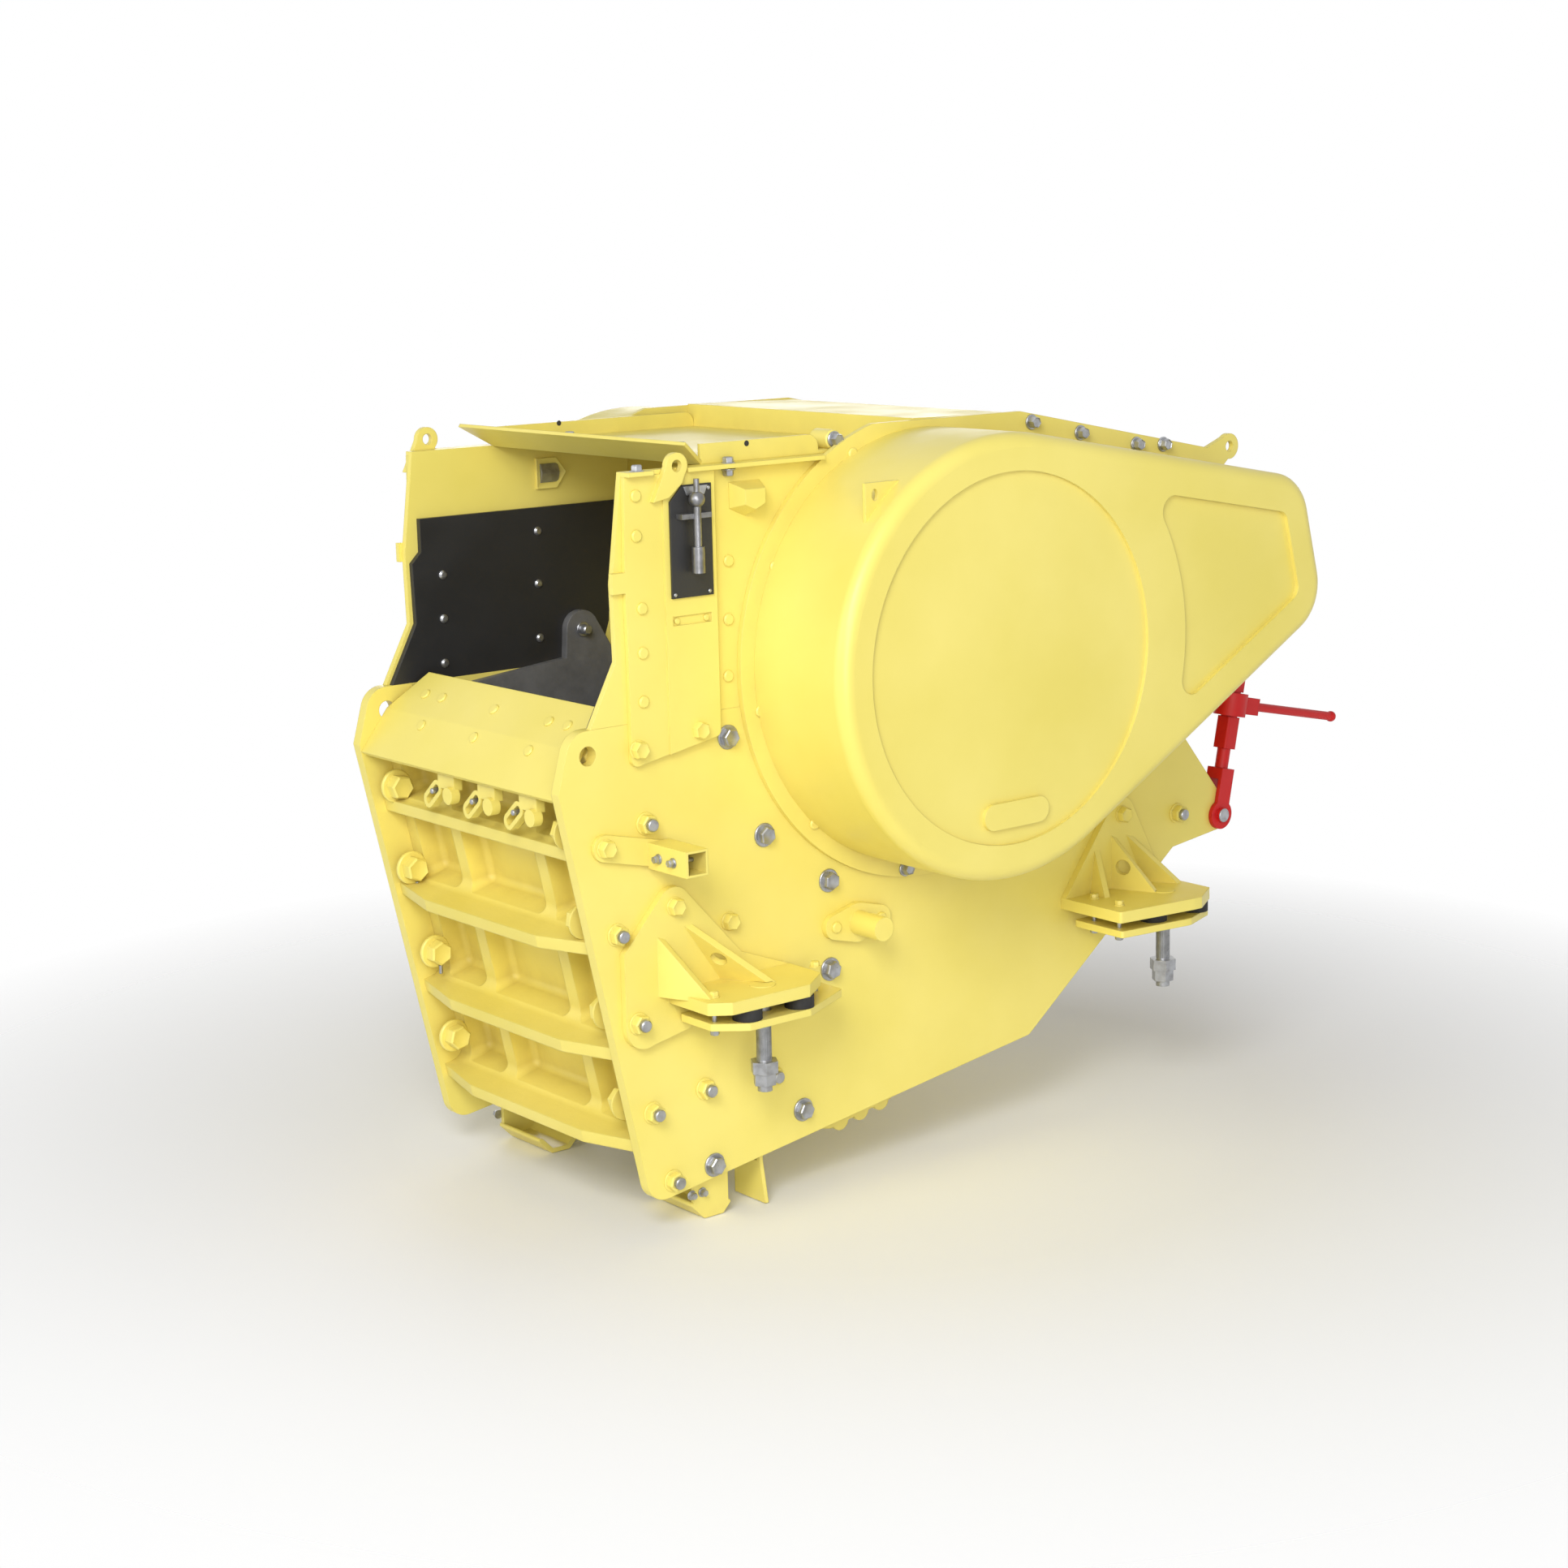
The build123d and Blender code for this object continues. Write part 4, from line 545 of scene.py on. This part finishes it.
# Painted shade: the two holes in the tray's sides are thin black discs that stand in for the dark inside
# them.
hole_shadow_black = (liner_black, "black_liner")
hole_shadow_disc = turned_disc(radius=0.009, thickness=0.0012, edge=0.0004, sides=20)
fasten("tray_near_hole_shadow", hole_shadow_disc, [(-0.755, -wall_y, 1.7635)], (0, -1, 0), hole_shadow_black)
fasten("tray_far_hole_shadow", hole_shadow_disc, [(-0.669, wall_y - tray_thickness, 1.770)], (0, -1, 0), hole_shadow_black)
pin_x, pin_z, pin_root, pin_tip = -0.410, tray_floor + 0.032, -0.500, -0.585
side_pin = turned_disc(radius=0.031, thickness=0.085, edge=0.004)
dome = bolt_head("dome", washer=0.026, thickness=0.006, edge=0.002, across=0.036, height=0.014, crown=0.010)
fasten("tray_pin", side_pin, [(pin_x, pin_root, pin_z)], (0, -1, 0), painted)
fasten("tray_pin_nut", dome, [(pin_x, pin_tip, pin_z)], (0, -1, 0), bare)
put_away(hole_shadow_disc, side_pin, rim_bolt)

# Flywheel and belt guards: a flat back plate on each side with a deep pressed cover screwed to it.
# The screws round the flange are painted over, the dome nuts along the crest are zinc, and a
# three-cornered lifting tab is welded on the round of each cover.
dress(lemon_enamel, "right_guard_back_plate", "left_guard_back_plate")
dress(lemon_enamel, "right_guard_cover", "left_guard_cover")
guard_y = plate_y + 0.020
flange_places = ((-0.364, 1.706), (-0.689, 1.379), (-0.760, 0.932), (-0.551, 0.539))
crest_places = ((0.413, 1.756), (0.639, 1.706), (0.907, 1.649), (1.039, 1.640))
dome_places = crest_places + ((-0.169, 0.330), (0.089, 0.290))
for side, sign in both_sides:
    outward, plane = (0, sign, 0), sign * guard_y
    fasten(side + "_flange_screws", screw, on_side(plane, flange_places), outward, painted)
    fasten(side + "_dome_nuts", dome, on_side(plane, dome_places), outward, bare)
tab_low, tab_high = Vector((-0.600, 0, 1.512)), Vector((-0.450, 0, 1.651))
tab_slope = tab_high - tab_low
tab_y, tab_thickness = plate_y + 0.345, 0.014
eye_x, eye_z, eye_radius, eye_stretch, drill_length = -0.562, 1.613, 0.012, 1.5, 0.1
for side, sign in both_sides:
    tab = block(
        side + "_guard_tab",
        (tab_low.x, sign * tab_y, tab_low.z),
        (tab_high.x, sign * (tab_y + tab_thickness), tab_high.z),
    )
    bpy.ops.object.mode_set(mode="EDIT")
    bpy.ops.mesh.select_all(action="SELECT")
    bpy.ops.mesh.bisect(
        plane_co=tab_low, plane_no=(tab_slope.z, 0, -tab_slope.x), use_fill=True, clear_outer=True
    )
    bpy.ops.object.mode_set(mode="OBJECT")
    bpy.ops.object.select_all(action="DESELECT")
    bpy.ops.mesh.primitive_cylinder_add(
        vertices=24,
        radius=eye_radius,
        depth=drill_length,
        location=(eye_x, sign * tab_y, eye_z),
        rotation=(math.pi / 2, 0, 0),
    )
    drill = bpy.context.object
    drill.scale = (1, eye_stretch, 1)
    bpy.context.view_layer.objects.active = tab
    eye = tab.modifiers.new("eye", "BOOLEAN")
    eye.object = drill
    bpy.ops.object.modifier_apply(modifier="eye")
    put_away(drill)
    fit(tab, *painted)

# Mounts: welded brackets stand on rubber buffers over loose base plates.
# Zinc-plated studs with a coarse thread hang through them and take the support beams between plate
# and nuts; the heads in the shelves are filled and painted over.
rubber = shaded(
    "buffer_rubber",
    dark,
    {"Metal": (0.012, 0.012, 0.012, 1), "Scale": (0.024, 0.023, 0.022, 1), "Gloss": 0.72},
    bump=0.1,
    depth=0.001,
    rounding=0.004,
)
dress(lemon_enamel, "right_front_bracket", "left_front_bracket", "right_rear_bracket", "left_rear_bracket")
dress(lemon_enamel, "mount_base_plates")
dress(rubber, "mount_rubber_pads")
dress(zinc_steel, "mount_studs")
stud_x, stud_y = 0.893, 0.770
thread_foot, thread_radius, thread_size = -0.138, 0.0243, 0.0028
thread_pitch, thread_turns, turn_steps = 0.005, 26, 20
bpy.ops.object.select_all(action="DESELECT")
bpy.ops.mesh.primitive_circle_add(
    vertices=3, radius=thread_size, location=(thread_radius, 0, 0), rotation=(math.pi / 2, 0, math.pi / 2)
)
thread = bpy.context.object
bpy.ops.object.transform_apply(location=True, rotation=True, scale=False)
helix = thread.modifiers.new("helix", "SCREW")
helix.screw_offset = thread_pitch
helix.iterations = thread_turns
helix.steps = turn_steps
helix.render_steps = turn_steps
bpy.ops.object.modifier_apply(modifier="helix")
bpy.ops.object.mode_set(mode="EDIT")
bpy.ops.mesh.select_all(action="SELECT")
bpy.ops.mesh.remove_doubles(threshold=0.00002)
bpy.ops.mesh.fill_holes(sides=4)
bpy.ops.mesh.normals_make_consistent(inside=False)
bpy.ops.object.mode_set(mode="OBJECT")
four = [(x, y) for x in (-stud_x, stud_x) for y in (-stud_y, stud_y)]
fasten("stud_threads", thread, [(x, y, thread_foot) for x, y in four], (0, 0, 1), bare)
shelf_top, rod_foot = 0.102, 0.024
cap = turned_disc(radius=0.042, thickness=0.003, edge=0.0015)
fasten("stud_caps", cap, [(x, y, shelf_top) for x, y in four], (0, 0, 1), painted)
pad_bolt = bolt_head(
    "pad_bolt", washer=0.018, thickness=0.004, edge=0.001, across=0.026, height=0.012, crown=0.003
)
pad_rod = turned_disc(radius=0.008, thickness=0.038, edge=0.001, sides=16)
pad_bolt_places = ((-1.090, 0.779), (-0.640, 0.720), (0.628, 0.818), (0.635, 0.690), (1.010, 0.700))
bracket_y = plate_y + 0.026
apex_places, toe_places = ((-1.117, 0.366), (0.835, 0.362)), ((-1.268, 0.020),)
for side, sign in both_sides:
    spots = [(x, sign * y, 0) for x, y in pad_bolt_places]
    fasten(side + "_pad_nuts", pad_bolt, spots, (0, 0, -1), bare)
    spots = [(x, sign * y, rod_foot) for x, y in pad_bolt_places]
    fasten(side + "_pad_rods", pad_rod, spots, (0, 0, 1), bare)
    spots = [(x, sign * y, shelf_top) for x, y in pad_bolt_places]
    fasten(side + "_shelf_heads", pad_bolt, spots, (0, 0, 1), painted)
    outward, plane = (0, sign, 0), sign * bracket_y
    fasten(side + "_bracket_heads", painted_head, on_side(plane, apex_places), outward, painted)
    fasten(side + "_bracket_nut", nut, on_side(plane, toe_places), outward, painted)
    fasten(side + "_bracket_stud_end", stud_end, on_side(plane, toe_places), outward, bare)
put_away(thread, cap, pad_bolt, pad_rod, washer_bolt, nut, stud_end)

# Side fittings: the trunnion stubs and the square tube sockets on their straps.
# They are bolted on and painted with the frame; two plated set screws cross each tube.
dress(lemon_enamel, "right_trunnion", "left_trunnion", "right_tube_socket", "left_tube_socket")
trunnion_y, strap_y = plate_y + 0.022, plate_y + 0.016
lobe_places, strap_places = ((-0.469, 0.183), (-0.277, 0.183)), ((-1.362, 0.585),)
tube_face_x, tube_z, tube_screw_y, shank_inset = -1.204, 0.537, (0.671, 0.745), 0.008
set_screw = bolt_head(
    "set_screw", washer=0.016, thickness=0.004, edge=0.001, across=0.021, height=0.014, crown=0.003
)
screw_shank = turned_disc(radius=0.007, thickness=0.066, edge=0.002, sides=16)
for side, sign in both_sides:
    outward = (0, sign, 0)
    fasten(side + "_trunnion_screws", screw, on_side(sign * trunnion_y, lobe_places), outward, painted)
    fasten(side + "_strap_head", painted_head, on_side(sign * strap_y, strap_places), outward, painted)
    heads = [(tube_face_x, sign * y, tube_z) for y in tube_screw_y]
    fasten(side + "_set_screws", set_screw, heads, (-1, 0, 0), bare)
    shanks = [(x + shank_inset, y, z) for x, y, z in heads]
    fasten(side + "_set_screw_shanks", screw_shank, shanks, (1, 0, 0), bare)
put_away(screw_shank, screw, painted_head, dome)

# Ratchet binder: a forged load binder in red enamel between the rear lug and the anchor plate.
# The pins in its forks are plated steel, bare at the ends.
# Its dark red tint is painted shade in the binder's corners and joints.
red_enamel = shaded(
    "red_enamel",
    sprayed,
    {"Enamel": (0.66, 0.004, 0.005, 1), "Shade_tint": (0.30, 0.02, 0.02, 1), "Shade_amount": 0.5, "Gloss": 0.5},
    bump=0.10,
    depth=0.001,
    rounding=0.004,
)
dress(red_enamel, "binder_lower_fork", "binder_upper_fork", "binder_barrel", "binder_handle")
dress(lemon_enamel, "binder_anchor")
fork_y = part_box("binder_lower_fork")[0].y
fork_places = ((1.356, 0.279), (1.5123, 1.0146))
pin_end = turned_disc(radius=0.025, thickness=0.004, edge=0.002)
fasten("binder_pin_ends", pin_end, on_side(fork_y, fork_places), (0, -1, 0), bare)
put_away(pin_end)

# Discharge deflectors: a bent trough and a hanging skirt under the foot of each side plate.
# They turn the falling rock inwards, and the webs of the troughs are bolted from outside.
dress(lemon_enamel, "discharge_deflector")
web_y = plate_y - 0.040
web_places = ((-1.038, -0.608), (-0.995, -0.608))
for side, sign in both_sides:
    fasten(side + "_web_screws", set_screw, on_side(sign * web_y, web_places), (0, sign, 0), bare)
put_away(set_screw)

# Studio: a plain white floor under the lowest point that fades into the white all round it.
# The walls are white and the ceiling dim; a broad key stands beside the camera, with three soft fills.
floor_gap, fade_start, fade_end = 0.002, 1.6, 4.2
bpy.ops.object.select_all(action="DESELECT")
bpy.ops.mesh.primitive_plane_add(size=60, location=(0, 0, solid_box[0].z - floor_gap))
floor = bpy.context.object
floor.name = "floor"
white_floor = bpy.data.materials.new("white_floor")
white_floor.use_nodes = True
ground = white_floor.node_tree
paper = ground.nodes["Principled BSDF"]
paper.inputs["Base Color"].default_value = (0.95, 0.95, 0.95, 1)
paper.inputs["Roughness"].default_value = 0.7
reach = put(ground, "VectorMath", operation="LENGTH")
ground.links.new(put(ground, "TexCoord").outputs["Object"], reach.inputs[0])
fade = put(ground, "MixShader")
ground.links.new(spread(ground, reach.outputs["Value"], fade_start, fade_end), fade.inputs["Fac"])
ground.links.new(paper.outputs["BSDF"], fade.inputs[1])
ground.links.new(put(ground, "BsdfTransparent").outputs["BSDF"], fade.inputs[2])
ground.links.new(fade.outputs["Shader"], ground.nodes["Material Output"].inputs["Surface"])
floor.data.materials.append(white_floor)

world = bpy.data.worlds.new("studio")
bpy.context.scene.world = world
world.use_nodes = True
sky = world.node_tree
backdrop = sky.nodes["Background"]
backdrop.inputs["Color"].default_value = (1, 1, 1, 1)
rays = put(sky, "LightPath")
seen = put(sky, "Math", operation="MAXIMUM")
sky.links.new(rays.outputs["Is Camera Ray"], seen.inputs[0])
sky.links.new(rays.outputs["Is Glossy Ray"], seen.inputs[1])
heading = put(sky, "SeparateXYZ")
sky.links.new(put(sky, "TexCoord").outputs["Generated"], heading.inputs["Vector"])
wall_light, ceiling_light = 0.56, 0.16
walls = spread(sky, heading.outputs["Z"], low=0.0, high=0.9, to_low=wall_light, to_high=ceiling_light)
strength = put(sky, "Math", operation="MAXIMUM")
sky.links.new(walls, strength.inputs[0])
sky.links.new(seen.outputs[0], strength.inputs[1])
sky.links.new(strength.outputs[0], backdrop.inputs["Strength"])

lamps_aim = Vector((0, 0, 0.5))
for name, place, energy, size in (
    ("key", (-7.3, -6.1, 6.0), 600, 4.0),
    ("front", (-9.0, -0.5, 3.6), 110, 4.0),
    ("fill", (-5.0, -8.0, 1.9), 230, 4.0),
    ("back", (5.0, 8.0, 1.8), 170, 5.0),
):
    lamp = bpy.data.lights.new(name, "AREA")
    lamp.energy = energy
    lamp.size = size
    stand = bpy.data.objects.new(name, lamp)
    stand.location = place
    stand.rotation_euler = (lamps_aim - Vector(place)).to_track_quat("-Z", "Y").to_euler()
    bpy.context.collection.objects.link(stand)

azimuth, elevation, roll = (math.radians(a) for a in (-38.4806, 11.4508, -1.3164))
camera_place = (-6.1596, -7.5263, 2.4731)
back = Vector(
    (math.sin(azimuth) * math.cos(elevation), -math.cos(azimuth) * math.cos(elevation), math.sin(elevation))
)
level = Vector((math.cos(azimuth), math.sin(azimuth), 0))
up = back.cross(level)
across = math.cos(roll) * level + math.sin(roll) * up
upright = -math.sin(roll) * level + math.cos(roll) * up
lens = bpy.data.cameras.new("camera")
lens.lens = 65.35
lens.sensor_width = 36.0
lens.clip_end = 200.0
camera = bpy.data.objects.new("camera", lens)
turn = Matrix((across, upright, back)).transposed().to_4x4()
camera.matrix_world = Matrix.Translation(camera_place) @ turn
bpy.context.collection.objects.link(camera)
bpy.context.scene.camera = camera
bpy.context.scene.view_settings.view_transform = "Standard"
